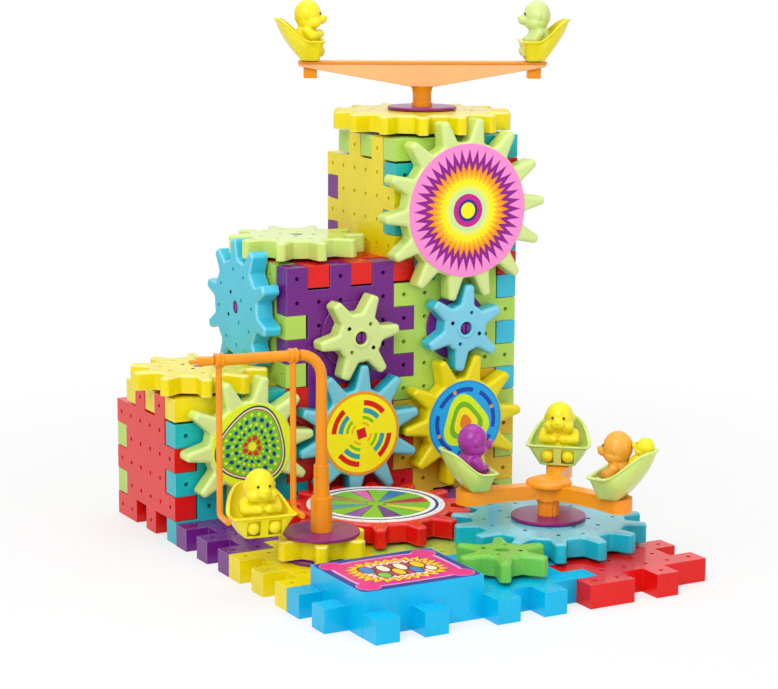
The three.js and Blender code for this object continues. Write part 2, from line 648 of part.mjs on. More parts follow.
// Swing: a stepped pole that bends over into a bar, and a hanger with two rings that hangs from it
const swing = accessory("swing_gear", 172);
const barHeight = discTop + poleBarHeight;
const footHeight = discTop + hangerFootClear;
const hangerHalf = seatWidth / 2 + fitGap + hangerRodRadius;
const ringNearReach = poleBendRadius + overrun + ringWidth / 2;
const ringFarReach = ringNearReach + 2 * hangerHalf;
const endStart = ringFarReach + ringWidth / 2 + fitGap;
const bendStart = new THREE.Vector3(0, 0, barHeight - poleBendRadius - overrun);
const bendEnd = new THREE.Vector3(poleBendRadius, 0, barHeight);
const barPath = new THREE.QuadraticBezierCurve3(bendStart, new THREE.Vector3(0, 0, barHeight), bendEnd);
const tubeAround = (radius) =>
  new THREE.Shape(new THREE.EllipseCurve(0, 0, radius, radius).getPoints(12).slice(0, -1));
const bend = new THREE.ExtrudeGeometry(tubeAround(poleTubeRadius), { extrudePath: barPath, steps: 8 });
const alongBar = (geometry, x) => moved(geometry.rotateY(Math.PI / 2), x, 0, barHeight);
ride(swing, "swing_pole", joined(
  discFor(swing, "swing_gear"),
  moved(turnedForm([
    [0, 0], [poleFootRadius, 0], [poleFootRadius, poleFootHeight], [poleCollarRadius, poleFootHeight],
    [poleCollarRadius, poleCollarHeight], [poleRadius, poleCollarHeight],
    [poleRadius, poleBarHeight - poleBendRadius], [0, poleBarHeight - poleBendRadius],
  ], 12), 0, 0, discTop),
  bend,
  alongBar(rod(poleBarRadius, endStart + 2 * overrun - poleBendRadius), poleBendRadius - overrun),
  alongBar(rod(poleEndRadius, poleEndLength), endStart),
  alongBar(rod(poleTipRadius, poleTipLength + overrun, 8), endStart + poleEndLength - overrun),
), plastic("orange"));
const hangerGroup = new THREE.Group();
swing.add(hangerGroup);
const hangerSide = (reach) => [
  alongBar(rod(ringRadius, ringWidth), reach - ringWidth / 2),
  moved(rod(hangerRodRadius, barHeight - footHeight, 8), reach, 0, footHeight),
  moved(rod(hangerRodRadius, hangerFootReach, 8).rotateX(-Math.PI / 2), reach, 0,
    footHeight + hangerRodRadius),
];
const sleeveLength = ringFarReach - ringNearReach;
ride(hangerGroup, "swing_hanger", cut(
  joined(
    ...hangerSide(ringNearReach),
    ...hangerSide(ringFarReach),
    alongBar(rod(sleeveRadius, sleeveLength), ringNearReach),
  ),
  alongBar(rod(sleeveBore, sleeveLength + 2 * ringWidth), ringNearReach - ringWidth),
), plastic("orange"));
const swingSeat = new THREE.Group();
swingSeat.position.set((ringNearReach + ringFarReach) / 2, hangerFootReach - seatLipReach,
  discTop + swingSeatClear);
swingSeat.rotation.z = -Math.PI / 2;
hangerGroup.add(swingSeat);
ride(swingSeat, "swing_seat", riderGeometry(), plastic("yellow"));

// Carousel: a post with level arms under a domed cap, and a seat pegged on each arm
const carousel = accessory("carousel_gear", 50);
const armUnder = discTop + carouselArmTop - carouselArmDepth;
const seatCarouselReach = carouselArmReach - carouselSeatInset;
const arm = (heading) =>
  joined(
    moved(block(carouselArmReach, carouselArmWidth, carouselArmDepth), carouselArmReach / 2, 0, armUnder),
    moved(rod(carouselEndRadius, carouselArmDepth), carouselArmReach, 0, armUnder),
  ).rotateZ(heading);
const armHeadings = Array.from({ length: carouselArms }, (_, i) => (i * 2 * Math.PI) / carouselArms);
ride(carousel, "carousel_arms", joined(
  discFor(carousel, "carousel_gear"),
  moved(rod(carouselPostRadius, carouselArmTop), 0, 0, discTop - discThickness / 2),
  ...armHeadings.map(arm),
  moved(turnedForm([
    [0, 0], [carouselCapRadius, 0], [carouselCapRadius, carouselCapHeight / 4],
    [carouselPostRadius, carouselCapHeight], [0, carouselCapHeight],
  ], 20), 0, 0, discTop + carouselArmTop - carouselCapHeight / 4),
), plastic("orange"));
const riders = [["back", 0], ["left", 0], ["front", 15, smallFigureParts]];
for (const [index, [name, facing, others = () => []]] of riders.entries()) {
  const holder = new THREE.Group();
  const heading = armHeadings[index];
  holder.position.set(Math.cos(heading) * seatCarouselReach, Math.sin(heading) * seatCarouselReach,
    discTop + carouselArmTop + fitGap);
  holder.rotation.z = heading + THREE.MathUtils.degToRad(facing);
  carousel.add(holder);
  ride(holder, "carousel_" + name + "_seat", riderGeometry(...others()), plastic("lime"));
}

// The origin is under the middle of the toy, on the surface it stands on
const bounds = new THREE.Box3().setFromObject(toy, true);
toy.position.set(-(bounds.min.x + bounds.max.x) / 2, -(bounds.min.y + bounds.max.y) / 2, -bounds.min.z);

export default toy;
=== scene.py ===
import json
from math import atan2, cos, hypot, pi, radians, sin, sqrt, tan

import bmesh
import bpy
from mathutils import Matrix, Vector


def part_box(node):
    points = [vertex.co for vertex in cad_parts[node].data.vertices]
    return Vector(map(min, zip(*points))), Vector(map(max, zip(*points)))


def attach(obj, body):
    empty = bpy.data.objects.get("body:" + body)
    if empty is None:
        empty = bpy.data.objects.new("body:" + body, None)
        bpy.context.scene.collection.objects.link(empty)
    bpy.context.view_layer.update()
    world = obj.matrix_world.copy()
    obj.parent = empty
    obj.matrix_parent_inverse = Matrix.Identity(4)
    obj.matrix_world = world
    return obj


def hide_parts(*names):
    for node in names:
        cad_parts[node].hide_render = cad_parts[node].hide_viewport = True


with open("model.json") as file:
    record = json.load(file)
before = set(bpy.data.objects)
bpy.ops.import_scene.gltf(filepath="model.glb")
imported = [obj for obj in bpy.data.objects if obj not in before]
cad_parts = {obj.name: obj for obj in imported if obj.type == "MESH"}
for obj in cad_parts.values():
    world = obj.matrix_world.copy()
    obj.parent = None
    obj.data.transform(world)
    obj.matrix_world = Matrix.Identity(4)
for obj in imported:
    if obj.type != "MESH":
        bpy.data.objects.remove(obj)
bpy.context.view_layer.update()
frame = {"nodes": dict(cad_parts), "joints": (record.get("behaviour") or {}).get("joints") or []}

# The tiles are injection-moulded plates of glossy ABS, six cells square, with teeth round the rim
# that press into the notches of the next tile. Every cell has a small round pit in its middle,
# where a hub's feet or an accessory's pegs can go.
cell = 0.0115
tile_thickness = 0.0105
tooth_gap = 0.0003
pit_radius = 0.00105
pit_depth = 0.004
edge_round = 0.0006
# How far the painted highlight on rounded edges and gear tops goes toward white
edge_paleness = 0.22
cells_to_towers = 15

housing_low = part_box("motor_housing")[0]
motor_corner = Vector((housing_low.x - tooth_gap, housing_low.y - tooth_gap, 0))
grid_corner = motor_corner + Vector((0, cells_to_towers * cell, 0))
looks_from = {
    "top": ((1, 0, 0), (0, 1, 0)),
    "front": ((1, 0, 0), (0, 0, 1)),
    "left": ((0, -1, 0), (0, 0, 1)),
    "back": ((-1, 0, 0), (0, 0, 1)),
    "right": ((0, 1, 0), (0, 0, 1)),
}


def facing(side, spot):
    """The place of a piece at the spot that faces out on this side of the set."""
    right, up = (Vector(v) for v in looks_from[side])
    turned = Matrix((right, up, right.cross(up))).transposed().to_4x4()
    turned.translation = spot
    return turned


def linear(shade):
    parts = [int(shade[i : i + 2], 16) / 255 for i in (0, 2, 4)]
    return [c / 12.92 if c <= 0.04045 else ((c + 0.055) / 1.055) ** 2.4 for c in parts] + [1]


def set_inputs(node, inputs):
    """Links the node's inputs from sockets, or sets them to plain values."""
    for key, value in inputs.items():
        if isinstance(value, bpy.types.NodeSocket):
            node.id_data.links.new(value, node.inputs[key])
        else:
            node.inputs[key].default_value = value


def add_node(tree, kind, inputs=(), **settings):
    node = tree.nodes.new(kind)
    for key, value in settings.items():
        setattr(node, key, value)
    set_inputs(node, dict(inputs))
    return node


def calc(kind, *values):
    """A sum on sockets and plain numbers, made in the tree that the sockets are in."""
    tree = next(value.id_data for value in values if isinstance(value, bpy.types.NodeSocket))
    return add_node(tree, "ShaderNodeMath", dict(enumerate(values)), operation=kind).outputs[0]


def new_material(name):
    material = bpy.data.materials.new(name)
    material.use_nodes = True
    return material, material.node_tree, material.node_tree.nodes["Principled BSDF"]


def moulded(name, shade, gloss=0.26, cloud=0.05, paleness=edge_paleness):
    """Injection-moulded plastic: faint flow clouds, uneven gloss, and paler painted highlights on marked
    faces.
    """
    material, tree, shader = new_material(name)
    base = linear(shade)[:3]
    place = add_node(tree, "ShaderNodeTexCoord").outputs["Object"]
    flow = add_node(tree, "ShaderNodeTexNoise", {"Vector": place, "Scale": 55, "Detail": 2})
    shades = add_node(tree, "ShaderNodeValToRGB", {"Fac": flow.outputs["Fac"]})
    for stop, position, strength in zip(shades.color_ramp.elements, (0.3, 0.7), (1 - cloud, 1 + cloud)):
        stop.position = position
        stop.color = [min(1, c * strength) for c in base] + [1]
    # Painted highlight: the marked faces, rounded edges or gear tops, are mixed toward white.
    rim = add_node(tree, "ShaderNodeAttribute", attribute_name="painted_highlight").outputs["Fac"]
    pale = [c + (1 - c) * paleness for c in base] + [1]
    paler = add_node(tree, "ShaderNodeMix", {0: rim, 6: shades.outputs["Color"], 7: pale}, data_type="RGBA")
    skin = add_node(tree, "ShaderNodeTexNoise", {"Vector": place, "Scale": 420, "Detail": 1}).outputs["Fac"]
    wear = add_node(
        tree, "ShaderNodeMapRange", {"Value": skin, "To Min": gloss - 0.03, "To Max": gloss + 0.04}
    )
    grain = add_node(tree, "ShaderNodeBump", {"Strength": 0.12, "Distance": 0.00003, "Height": skin})
    set_inputs(shader, {
        "Base Color": paler.outputs[2], "Roughness": wear.outputs["Result"],
        "Normal": grain.outputs["Normal"], "Specular IOR Level": 0.24,
        "Coat Weight": 0.16, "Coat Roughness": 0.06,
    })
    return material


plastics = {
    "purple": moulded("purple_abs", "701d84"),
    "yellow": moulded("yellow_abs", "ecd808"),
    "red": moulded("red_abs", "e01410", paleness=0.05),
    "lime": moulded("lime_abs", "b4d85a"),
    "teal": moulded("teal_abs", "10b4be"),
    "aqua": moulded("aqua_abs", "1cb6cc", 0.2, paleness=0.17),
    "cyan": moulded("cyan_abs", "3cc2e0", 0.2, paleness=0.17),
    "amber": moulded("amber_abs", "e8c024"),
    "blue": moulded("blue_abs", "00b6e4"),
    "green": moulded("green_abs", "72c24c"),
    "orange": moulded("orange_abs", "ea9008"),
    "pale_lime": moulded("pale_lime_abs", "cce278", 0.2, paleness=0.12),
    "bright_orange": moulded("bright_orange_abs", "ff9a1c"),
}


def new_tree(name, *sockets):
    """A geometry tree with one input geometry, the named inputs and one output geometry."""
    tree = bpy.data.node_groups.new(name, "GeometryNodeTree")
    tree.interface.new_socket("Geometry", in_out="INPUT", socket_type="NodeSocketGeometry")
    for label, kind, value in sockets:
        socket = tree.interface.new_socket(label, in_out="INPUT", socket_type="NodeSocket" + kind)
        if value is not None:
            socket.default_value = value
    tree.interface.new_socket("Geometry", in_out="OUTPUT", socket_type="NodeSocketGeometry")
    return tree


def end_tree(tree, geometry, material):
    whole = add_node(tree, "GeometryNodeRealizeInstances", {"Geometry": geometry}).outputs[0]
    dressed = add_node(tree, "GeometryNodeSetMaterial", {"Geometry": whole, "Material": material})
    add_node(tree, "NodeGroupOutput", {"Geometry": dressed.outputs[0]})


def fit_tree(piece, tree, values):
    modifier = piece.modifiers.new(tree.name, "NODES")
    modifier.node_group = tree
    for item in tree.interface.items_tree:
        if item.item_type == "SOCKET" and item.in_out == "INPUT" and item.name in values:
            modifier[item.identifier] = values[item.name]


def pit_tree():
    """Round pits on a square grid, cut into the flat face at the height of the grid's centre."""
    tree = new_tree(
        "pits",
        ("Columns", "Int", 6), ("Rows", "Int", 6), ("Spacing", "Float", cell), ("Centre", "Vector", None),
        ("Reach", "Float", 1.0), ("Radius", "Float", pit_radius), ("Depth", "Float", pit_depth),
        ("Material", "Material", None),
    )
    given = add_node(tree, "NodeGroupInput").outputs
    width, height = (
        calc("MULTIPLY", calc("SUBTRACT", given[count], 1.0), given["Spacing"])
        for count in ("Columns", "Rows")
    )
    grid = add_node(tree, "GeometryNodeMeshGrid", {
        "Size X": width, "Size Y": height, "Vertices X": given["Columns"], "Vertices Y": given["Rows"],
    })
    where = add_node(tree, "GeometryNodeInputPosition").outputs[0]
    away = add_node(tree, "ShaderNodeVectorMath", {0: where}, operation="LENGTH").outputs["Value"]
    drill = add_node(tree, "GeometryNodeMeshCylinder", {
        "Vertices": 12, "Radius": given["Radius"], "Depth": calc("MULTIPLY", given["Depth"], 2.0),
    })
    drills = add_node(tree, "GeometryNodeInstanceOnPoints", {
        "Points": grid.outputs[0], "Selection": calc("LESS_THAN", away, given["Reach"]),
        "Instance": drill.outputs[0],
    })
    ready = add_node(tree, "GeometryNodeRealizeInstances", {"Geometry": drills.outputs[0]}).outputs[0]
    moved = add_node(tree, "GeometryNodeTransform", {"Geometry": ready, "Translation": given["Centre"]})
    drilled = add_node(
        tree, "GeometryNodeMeshBoolean", {"Mesh 1": given["Geometry"], "Mesh 2": moved.outputs[0]},
        operation="DIFFERENCE",
    )
    end_tree(tree, drilled.outputs["Mesh"], given["Material"])
    return tree


pits = pit_tree()


def new_piece(name, material=None):
    piece = bpy.data.objects.new(name, bpy.data.meshes.new(name))
    bpy.context.scene.collection.objects.link(piece)
    if material:
        piece.data.materials.append(material)
    return piece


def evaluated(piece):
    depsgraph = bpy.context.evaluated_depsgraph_get()
    mesh = bpy.data.meshes.new_from_object(piece.evaluated_get(depsgraph), depsgraph=depsgraph)
    piece.modifiers.clear()
    piece.data = mesh
    return mesh


def mark_highlight_faces(piece, flat):
    """Marks the faces that fail the given test for a painted highlight, which the material paints paler."""
    mesh = evaluated(piece)
    marks = mesh.attributes.new("painted_highlight", "FLOAT", "FACE")
    marks.data.foreach_set("value", [0.0 if flat(face.normal) else 1.0 for face in mesh.polygons])


def settle(piece, place=Matrix.Identity(4), crease=50):
    """Makes the piece's modifiers a plain mesh, puts it in place and keeps its flat faces flat."""
    mesh = evaluated(piece)
    mesh.transform(place)
    mesh.shade_smooth()
    mesh.set_sharp_from_angle(angle=radians(crease))
    weighting = piece.modifiers.new("flat_faces", "WEIGHTED_NORMAL")
    weighting.keep_sharp = True
    evaluated(piece)


def square_on(normal):
    return max(abs(part) for part in normal) > 0.97


def round_edges(piece, width, segments=3, limit=40):
    bevel = piece.modifiers.new("rounded_edges", "BEVEL")
    bevel.width = width
    bevel.segments = segments
    bevel.limit_method = "ANGLE"
    bevel.angle_limit = radians(limit)
    bevel.use_clamp_overlap = True


def fill_mesh(mesh, build):
    """Runs build on a new bmesh, makes all its faces point outwards and puts it in the mesh."""
    shape = bmesh.new()
    build(shape)
    bmesh.ops.remove_doubles(shape, verts=shape.verts, dist=1e-6)
    bmesh.ops.recalc_face_normals(shape, faces=shape.faces)
    shape.to_mesh(mesh)
    shape.free()


def rim_points(columns, rows, corner_side="bottom"):
    """A tile's rim: notch, tooth, notch, tooth along each side. One side may fill a corner."""
    width, height = columns * cell, rows * cell
    points = []
    for side, start, along, out, cells in (
        ("top", (0, height), (1, 0), (0, 1), columns),
        ("right", (width, height), (0, -1), (1, 0), rows),
        ("bottom", (width, 0), (-1, 0), (0, -1), columns),
        ("left", (0, 0), (0, 1), (-1, 0), rows),
    ):
        walk = []
        fills_corner = side == corner_side
        first = 2
        while first <= cells - 2:
            last_tooth = fills_corner and first == cells - 2
            near = first * cell + tooth_gap / 2
            far = cells * cell - tooth_gap if last_tooth else (first + 1) * cell - tooth_gap / 2
            end = tooth_gap / 2 if last_tooth else 0
            walk += [(near, 0), (near, cell - tooth_gap), (far, cell - tooth_gap), (far, end)]
            if last_tooth:
                walk.append(((cells - 1) * cell, end))
            # Tiles meet every five cells, so teeth stand at cells 2 and 4, 7 and 9, and so on.
            first += 2 if first % 5 == 2 else 3
        if not fills_corner:
            walk.append(((cells - 1) * cell, 0))
        for distance, proud in walk:
            spot = (s + a * distance + o * (proud - cell) for s, a, o in zip(start, along, out))
            points.append(tuple(spot))
    return points


def slab(points, low, high):
    """A closed flat piece: the outline points between two heights."""

    def build(shape):
        face = shape.faces.new([shape.verts.new((x, y, low)) for x, y in points])
        grown = bmesh.ops.extrude_face_region(shape, geom=[face])["geom"]
        lifted = [v for v in grown if isinstance(v, bmesh.types.BMVert)]
        bmesh.ops.translate(shape, verts=lifted, vec=(0, 0, high - low))

    return build


tiles = (
    ("base_tile_left_back", "purple", "top", (0, -5, 0)),
    ("base_tile_left_front", "yellow", "top", (0, -10, 0)),
    ("base_tile_mid_back", "red", "top", (5, -5, 0)),
    ("base_tile_mid_front", "lime", "top", (5, -10, 0)),
    ("base_tile_right_back", "purple", "top", (10, -5, 0)),
    ("base_tile_right_mid", "teal", "top", (10, -10, 0)),
    ("base_tile_right_front", "red", "top", (10, -15, 0)),
    ("low_tower_left_wall", "red", "left", (0, 6, 0)),
    ("low_tower_front_wall", "teal", "front", (0, 0, 0)),
    ("low_tower_back_wall", "lime", "back", (6, 6, 0)),
    ("low_tower_top", "yellow", "top", (0, 0, 6)),
    ("mid_tower_front_lower_wall", "red", "front", (5, 0, 0), "left"),
    ("mid_tower_front_upper_wall", "purple", "front", (5, 0, 5), "left"),
    ("mid_tower_left_wall", "lime", "left", (5, 6, 5)),
    ("mid_tower_back_lower_wall", "yellow", "back", (11, 6, 0)),
    ("mid_tower_back_upper_wall", "teal", "back", (11, 6, 5)),
    ("mid_tower_top", "red", "top", (5, 0, 11), "right"),
    ("high_tower_front_lower_wall", "amber", "front", (10, 0, 0)),
    ("high_tower_front_middle_wall", "lime", "front", (10, 0, 5)),
    ("high_tower_front_upper_wall", "teal", "front", (10, 0, 10), "top"),
    ("high_tower_left_wall", "yellow", "left", (10, 6, 10)),
    ("high_tower_back_lower_wall", "red", "back", (16, 6, 0)),
    ("high_tower_back_middle_wall", "amber", "back", (16, 6, 5)),
    ("high_tower_back_upper_wall", "purple", "back", (16, 6, 10)),
    ("high_tower_right_lower_wall", "lime", "right", (16, 0, 0)),
    ("high_tower_right_middle_wall", "cyan", "right", (16, 0, 5)),
    ("high_tower_right_upper_wall", "red", "right", (16, 0, 10)),
    ("high_tower_top", "lime", "top", (10, 0, 16)),
)
for node, colour, side, cells, *corner_side in tiles:
    tile = new_piece(node + "_tile", plastics[colour])
    fill_mesh(tile.data, slab(rim_points(6, 6, *corner_side), -tile_thickness, 0))
    round_edges(tile, edge_round)
    # Painted highlight on the tile's rounded edges
    mark_highlight_faces(tile, square_on)
    fit_tree(tile, pits, {"Centre": (3 * cell, 3 * cell, 0), "Material": plastics[colour]})
    spot = grid_corner + Vector(cells) * cell
    if node.startswith("base_tile"):
        spot.z = tile_thickness
    settle(tile, facing(side, spot))
    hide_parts(node)
    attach(tile, "structure")

# The hubs are purple ABS turnings in shape: a thin round flange on four feet that press into a
# tile's pits, and a pin with a screwdriver slot that a gear turns on.
hub_radius = 0.0166
hub_thickness = 0.0008
hub_lift = 0.0003
boss_radius = 0.0052
pin_radius = 0.0025
pin_chamfer = 0.0004
foot_radius = 0.0022
foot_reach = 0.0004
slot_half_width, slot_half_length, slot_depth = 0.0004, 0.0023, 0.001
gear_thickness = 0.0089
gear_lift = 0.0015
pin_recess, labelled_pin_recess = 0.0001, 0.0016


def revolve(shape, profile, steps=48, place=Matrix.Identity(4)):
    """Turns a profile of (radius, height) round the upright axis into a closed skin."""
    angles = [2 * pi * i / steps for i in range(steps)]
    rings = []
    for radius, height in profile:
        spots = [(radius * cos(a), radius * sin(a), height) for a in (angles if radius else [0])]
        rings.append([shape.verts.new(place @ Vector(spot)) for spot in spots])
    for low, high in zip(rings, rings[1:]):
        for i in range(steps):
            j = (i + 1) % steps
            corners = [low[i % len(low)], low[j % len(low)], high[j % len(high)], high[i % len(high)]]
            unlike = list(dict.fromkeys(corners))
            if len(unlike) > 2:
                shape.faces.new(unlike)


def cuboid(x0, x1, y0, y1, z0, z1):
    return slab([(x0, y0), (x1, y0), (x1, y1), (x0, y1)], z0, z1)


def combine(piece, operation, build):
    """Adds another closed form to the piece, or cuts it away."""
    other = new_piece("working_form")
    fill_mesh(other.data, build)
    change = piece.modifiers.new(operation.lower(), "BOOLEAN")
    change.operation = operation
    change.object = other
    evaluated(piece)
    bpy.data.objects.remove(other)


def gear_seat(joint):
    """The middle of a gear's underside, with Z along its axis."""
    axis, spot = Vector(joint["axis"]), Vector(joint["pos_m"])
    return max((facing(side, spot) for side in looks_from), key=lambda seat: axis.dot(seat.col[2].to_3d()))


gears = {j["name"].removesuffix("_spin"): j for j in frame["joints"] if j["name"].endswith("_spin")}
labelled = ("idler", "mid_tower_lower", "low_tower_front", "high_tower_lower", "high_tower_upper")
for name, joint in gears.items():
    if name == "drive":
        continue
    pin_top = gear_thickness - (labelled_pin_recess if name in labelled else pin_recess)
    hub = new_piece(name + "_hub", plastics["purple"])

    def build(shape):
        low, edge = hub_lift - gear_lift, 0.0002
        top = low + hub_thickness
        profile = [(0, low), (hub_radius - 0.0003, low), (hub_radius, low + edge), (hub_radius, top - edge)]
        profile += [(hub_radius - edge, top), (boss_radius, top), (pin_radius, top + edge)]
        profile += [(pin_radius, pin_top - pin_chamfer), (pin_radius - pin_chamfer, pin_top), (0, pin_top)]
        revolve(shape, profile)
        sole = -gear_lift - foot_reach
        foot = [(0, sole), (foot_radius, sole), (foot_radius, low), (0, low)]
        for x in (-1, 1):
            for y in (-1, 1):
                revolve(shape, foot, 16, Matrix.Translation((x * cell / 2, y * cell / 2, 0)))

    fill_mesh(hub.data, build)
    if name not in labelled:
        reach = (-slot_half_width, slot_half_width, -slot_half_length, slot_half_length)
        combine(hub, "DIFFERENCE", cuboid(*reach, pin_top - slot_depth, pin_top + slot_depth))
    settle(hub, gear_seat(joint), 35)
    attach(hub, "structure")

# The gears are single ABS mouldings with long finger-like teeth, a bore for the hub's pin and small
# holes for an accessory's pegs. Those with a label have rounded teeth, the others flat faces with
# softened edges, and two of the small ones a raised collar round the bore.
tooth_height = 0.004
tooth_depth = 0.0052
finger_depth = 0.0073
root_width = 0.0076
finger_root_width = 0.0086
tip_width = 0.0046
tip_round = 0.0018
valley_round = 0.0017
under_round = 0.0005
gear_bore = 0.0031
bore_round = 0.0004
peg_hole = 0.0010
peg_hole_depth = 0.0035
peg_hole_margin = 0.003
broad_round = 0.0016
collar_radius = 0.0048
collar_height = 0.0007


def filleted(points, radii, steps=6):
    """The open path with each inner corner rounded to its radius."""
    path = [points[0]]
    for before, corner, after, radius in zip(points, points[1:], points[2:], radii):
        corner = Vector(corner)
        inward, onward = (Vector(before) - corner).normalized(), (Vector(after) - corner).normalized()
        half = inward.angle(onward) / 2
        reach = radius / tan(half)
        middle = corner + (inward + onward).normalized() * (radius / sin(half))
        start, end = corner + inward * reach - middle, corner + onward * reach - middle
        for i in range(steps + 1):
            path.append(tuple(middle + start.slerp(end, i / steps) * radius))
    return path + [points[-1]]


def tooth_outline(teeth, inset, depth, width):
    """One tooth from the middle of a valley to the middle of the next, drawn in by the inset."""
    pitch_radius = teeth * cell / 4
    root, tip = pitch_radius - depth - inset, pitch_radius + tooth_height - inset
    root_half, tip_half = width / 2 - inset, (tip_width - (depth - tooth_depth) / 3) / 2 - inset
    half = pi / teeth
    side = [
        (root * cos(half), root * sin(half)),
        (sqrt(root**2 - root_half**2), root_half),
        (tip, tip_half),
        (tip, 0),
    ]
    rounded = filleted(side, (valley_round + inset, max(tip_round - inset, 0.0001)))
    return [(x, -y) for x, y in rounded] + rounded[-2::-1]


def tooth_sector(mesh, teeth, rounding, fingers):
    """A full section of the gear, one tooth wide: under face, flank, rounded edge, top and bore."""
    levels = [(under_round, 0), (0.3 * under_round, 0.3 * under_round), (0, under_round)]
    for i in range(7):
        turn = radians(15 * i)
        levels.append((rounding * (1 - cos(turn)), gear_thickness - rounding * (1 - sin(turn))))
    form = (finger_depth, finger_root_width) if fingers else (tooth_depth, root_width)
    rings = [[(x, y, height) for x, y in tooth_outline(teeth, inset, *form)] for inset, height in levels]
    count = len(rings[0])
    for wider, height in (
        (bore_round, gear_thickness), (0, gear_thickness - bore_round), (0, bore_round), (bore_round, 0),
    ):
        turns = [pi / teeth * (2 * i / (count - 1) - 1) for i in range(count)]
        radius = gear_bore + wider
        rings.append([(radius * cos(turn), radius * sin(turn), height) for turn in turns])
    faces = []
    for low in range(len(rings)):
        high = (low + 1) % len(rings)
        for i in range(count - 1):
            faces.append((low * count + i, low * count + i + 1, high * count + i + 1, high * count + i))
    mesh.from_pydata([point for ring in rings for point in ring], [], faces)


def gear_tree():
    """Repeats one tooth's section round the axis and joins the sections to one closed gear."""
    tree = new_tree("gear_ring", ("Teeth", "Int", 6), ("Material", "Material", None))
    given = add_node(tree, "NodeGroupInput").outputs
    marks = add_node(tree, "GeometryNodeMeshLine", {"Count": given["Teeth"], "Offset": (0, 0, 0)})
    number = add_node(tree, "GeometryNodeInputIndex").outputs[0]
    angle = calc("MULTIPLY", calc("DIVIDE", number, given["Teeth"]), 2 * pi)
    turn = add_node(tree, "ShaderNodeCombineXYZ", {"Z": angle}).outputs[0]
    teeth = add_node(tree, "GeometryNodeInstanceOnPoints", {
        "Points": marks.outputs[0], "Instance": given["Geometry"], "Rotation": turn,
    })
    loose = add_node(tree, "GeometryNodeRealizeInstances", {"Geometry": teeth.outputs[0]}).outputs[0]
    joined = add_node(tree, "GeometryNodeMergeByDistance", {"Geometry": loose, "Distance": 5e-6})
    end_tree(tree, joined.outputs[0], given["Material"])
    return tree


gear_ring = gear_tree()


def tooth_phase(node, teeth, place):
    """The angle of a tooth's middle, taken from where the CAD gear's tips stand."""
    tip_band = 0.0008
    tip = teeth * cell / 4 + tooth_height - tip_band
    back = place.inverted()
    spots = [back @ v.co for v in frame["nodes"][node].data.vertices]
    angles = [teeth * atan2(p.y, p.x) for p in spots if hypot(p.x, p.y) > tip]
    return atan2(sum(map(sin, angles)), sum(map(cos, angles))) / teeth


def level_or_upright(normal):
    return abs(normal.z) < 0.25 or abs(normal.z) > 0.93


def not_on_top(normal):
    return normal.z < 0.4


def whole_faces(shape, mesh):
    """The mesh with its level and flat parts made whole faces."""
    shape.from_mesh(mesh)
    bmesh.ops.remove_doubles(shape, verts=shape.verts, dist=5e-6)
    bmesh.ops.dissolve_limit(shape, angle_limit=radians(0.5), verts=shape.verts, edges=shape.edges)


# Teeth, colour, rounding of the teeth's upper edges, and whether the teeth are fingers
gear_kinds = {
    "carousel": (14, "aqua", 0.0013, False), "drive": (6, "green", 0.0018, False),
    "idler": (14, "red", 0.0015, False), "swing": (6, "yellow", 0.0010, False),
    "mid_tower_lower": (10, "aqua", 0.0018, True), "low_tower_front": (10, "pale_lime", 0.0018, True),
    "high_tower_lower": (10, "yellow", 0.0018, True), "mid_tower_upper": (6, "pale_lime", 0.0018, False),
    "high_tower_middle": (6, "cyan", 0.0018, False), "high_tower_upper": (14, "pale_lime", 0.0018, True),
    "seesaw": (14, "yellow", 0.0013, False), "low_tower_top": (10, "yellow", 0.0015, False),
    "mid_tower_side": (10, "cyan", 0.0015, False), "mid_tower_top": (10, "pale_lime", 0.0013, False),
}
gear_places = {}
for name, joint in gears.items():
    teeth, colour, rounding, fingers = gear_kinds[name]
    gear = new_piece(name + "_gear_moulding", plastics[colour])
    tooth_sector(gear.data, teeth, rounding, fingers)
    fit_tree(gear, gear_ring, {"Teeth": teeth, "Material": plastics[colour]})
    turned_out = evaluated(gear)
    fill_mesh(turned_out, lambda shape: whole_faces(shape, turned_out))
    # Painted highlight: gears with smaller rounding, other than the aqua ones, get it on their rounded
    # edges; the other aqua, cyan and pale lime gears get it on their tops; the rest get none.
    if rounding < broad_round and colour != "aqua":
        mark_highlight_faces(gear, level_or_upright)
    elif colour in ("aqua", "cyan", "pale_lime"):
        mark_highlight_faces(gear, not_on_top)
    holes_reach = teeth * cell / 4 - tooth_depth - peg_hole_margin
    fit_tree(gear, pits, {
        "Centre": (0, 0, gear_thickness), "Reach": holes_reach, "Radius": peg_hole, "Depth": peg_hole_depth,
        "Material": plastics[colour],
    })
    place = gear_seat(joint)
    place = place @ Matrix.Rotation(tooth_phase(name + "_gear", teeth, place), 4, "Z")
    gear_places[name] = place
    settle(gear, place, 35)
    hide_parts(name + "_gear")
    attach(gear, joint["child"])
    if name in ("mid_tower_upper", "high_tower_middle"):
        collar = new_piece(name + "_collar", plastics[colour])
        low = gear_thickness - 0.0002
        top = low + collar_height
        profile = [(gear_bore, low), (collar_radius, low), (collar_radius - 0.0001, top - 0.0002)]
        profile += [(collar_radius - 0.0004, top), (gear_bore + 0.0005, top)]
        profile += [(gear_bore + 0.0002, top - 0.0002)]
        fill_mesh(collar.data, lambda shape: revolve(shape, profile + profile[:1]))
        # Painted highlight on the collar's top
        mark_highlight_faces(collar, not_on_top)
        settle(collar, place, 35)
        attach(collar, joint["child"])

# The printed labels are round glossy stickers, each on a shallow pad in the middle of a gear, with
# plain rings, rays, dots and rounded clovers in bright inks.
pad_relief = 0.0004
large_label, small_label = 0.032, 0.0203
label_sink, label_edge = 0.0002, 0.0001


def lay_over(under, ink, mask):
    """Ink laid over the colour where the mask is 1."""
    under, ink = (linear(paint) if isinstance(paint, str) else paint for paint in (under, ink))
    return add_node(mask.id_data, "ShaderNodeMix", {0: mask, 6: under, 7: ink}, data_type="RGBA").outputs[2]


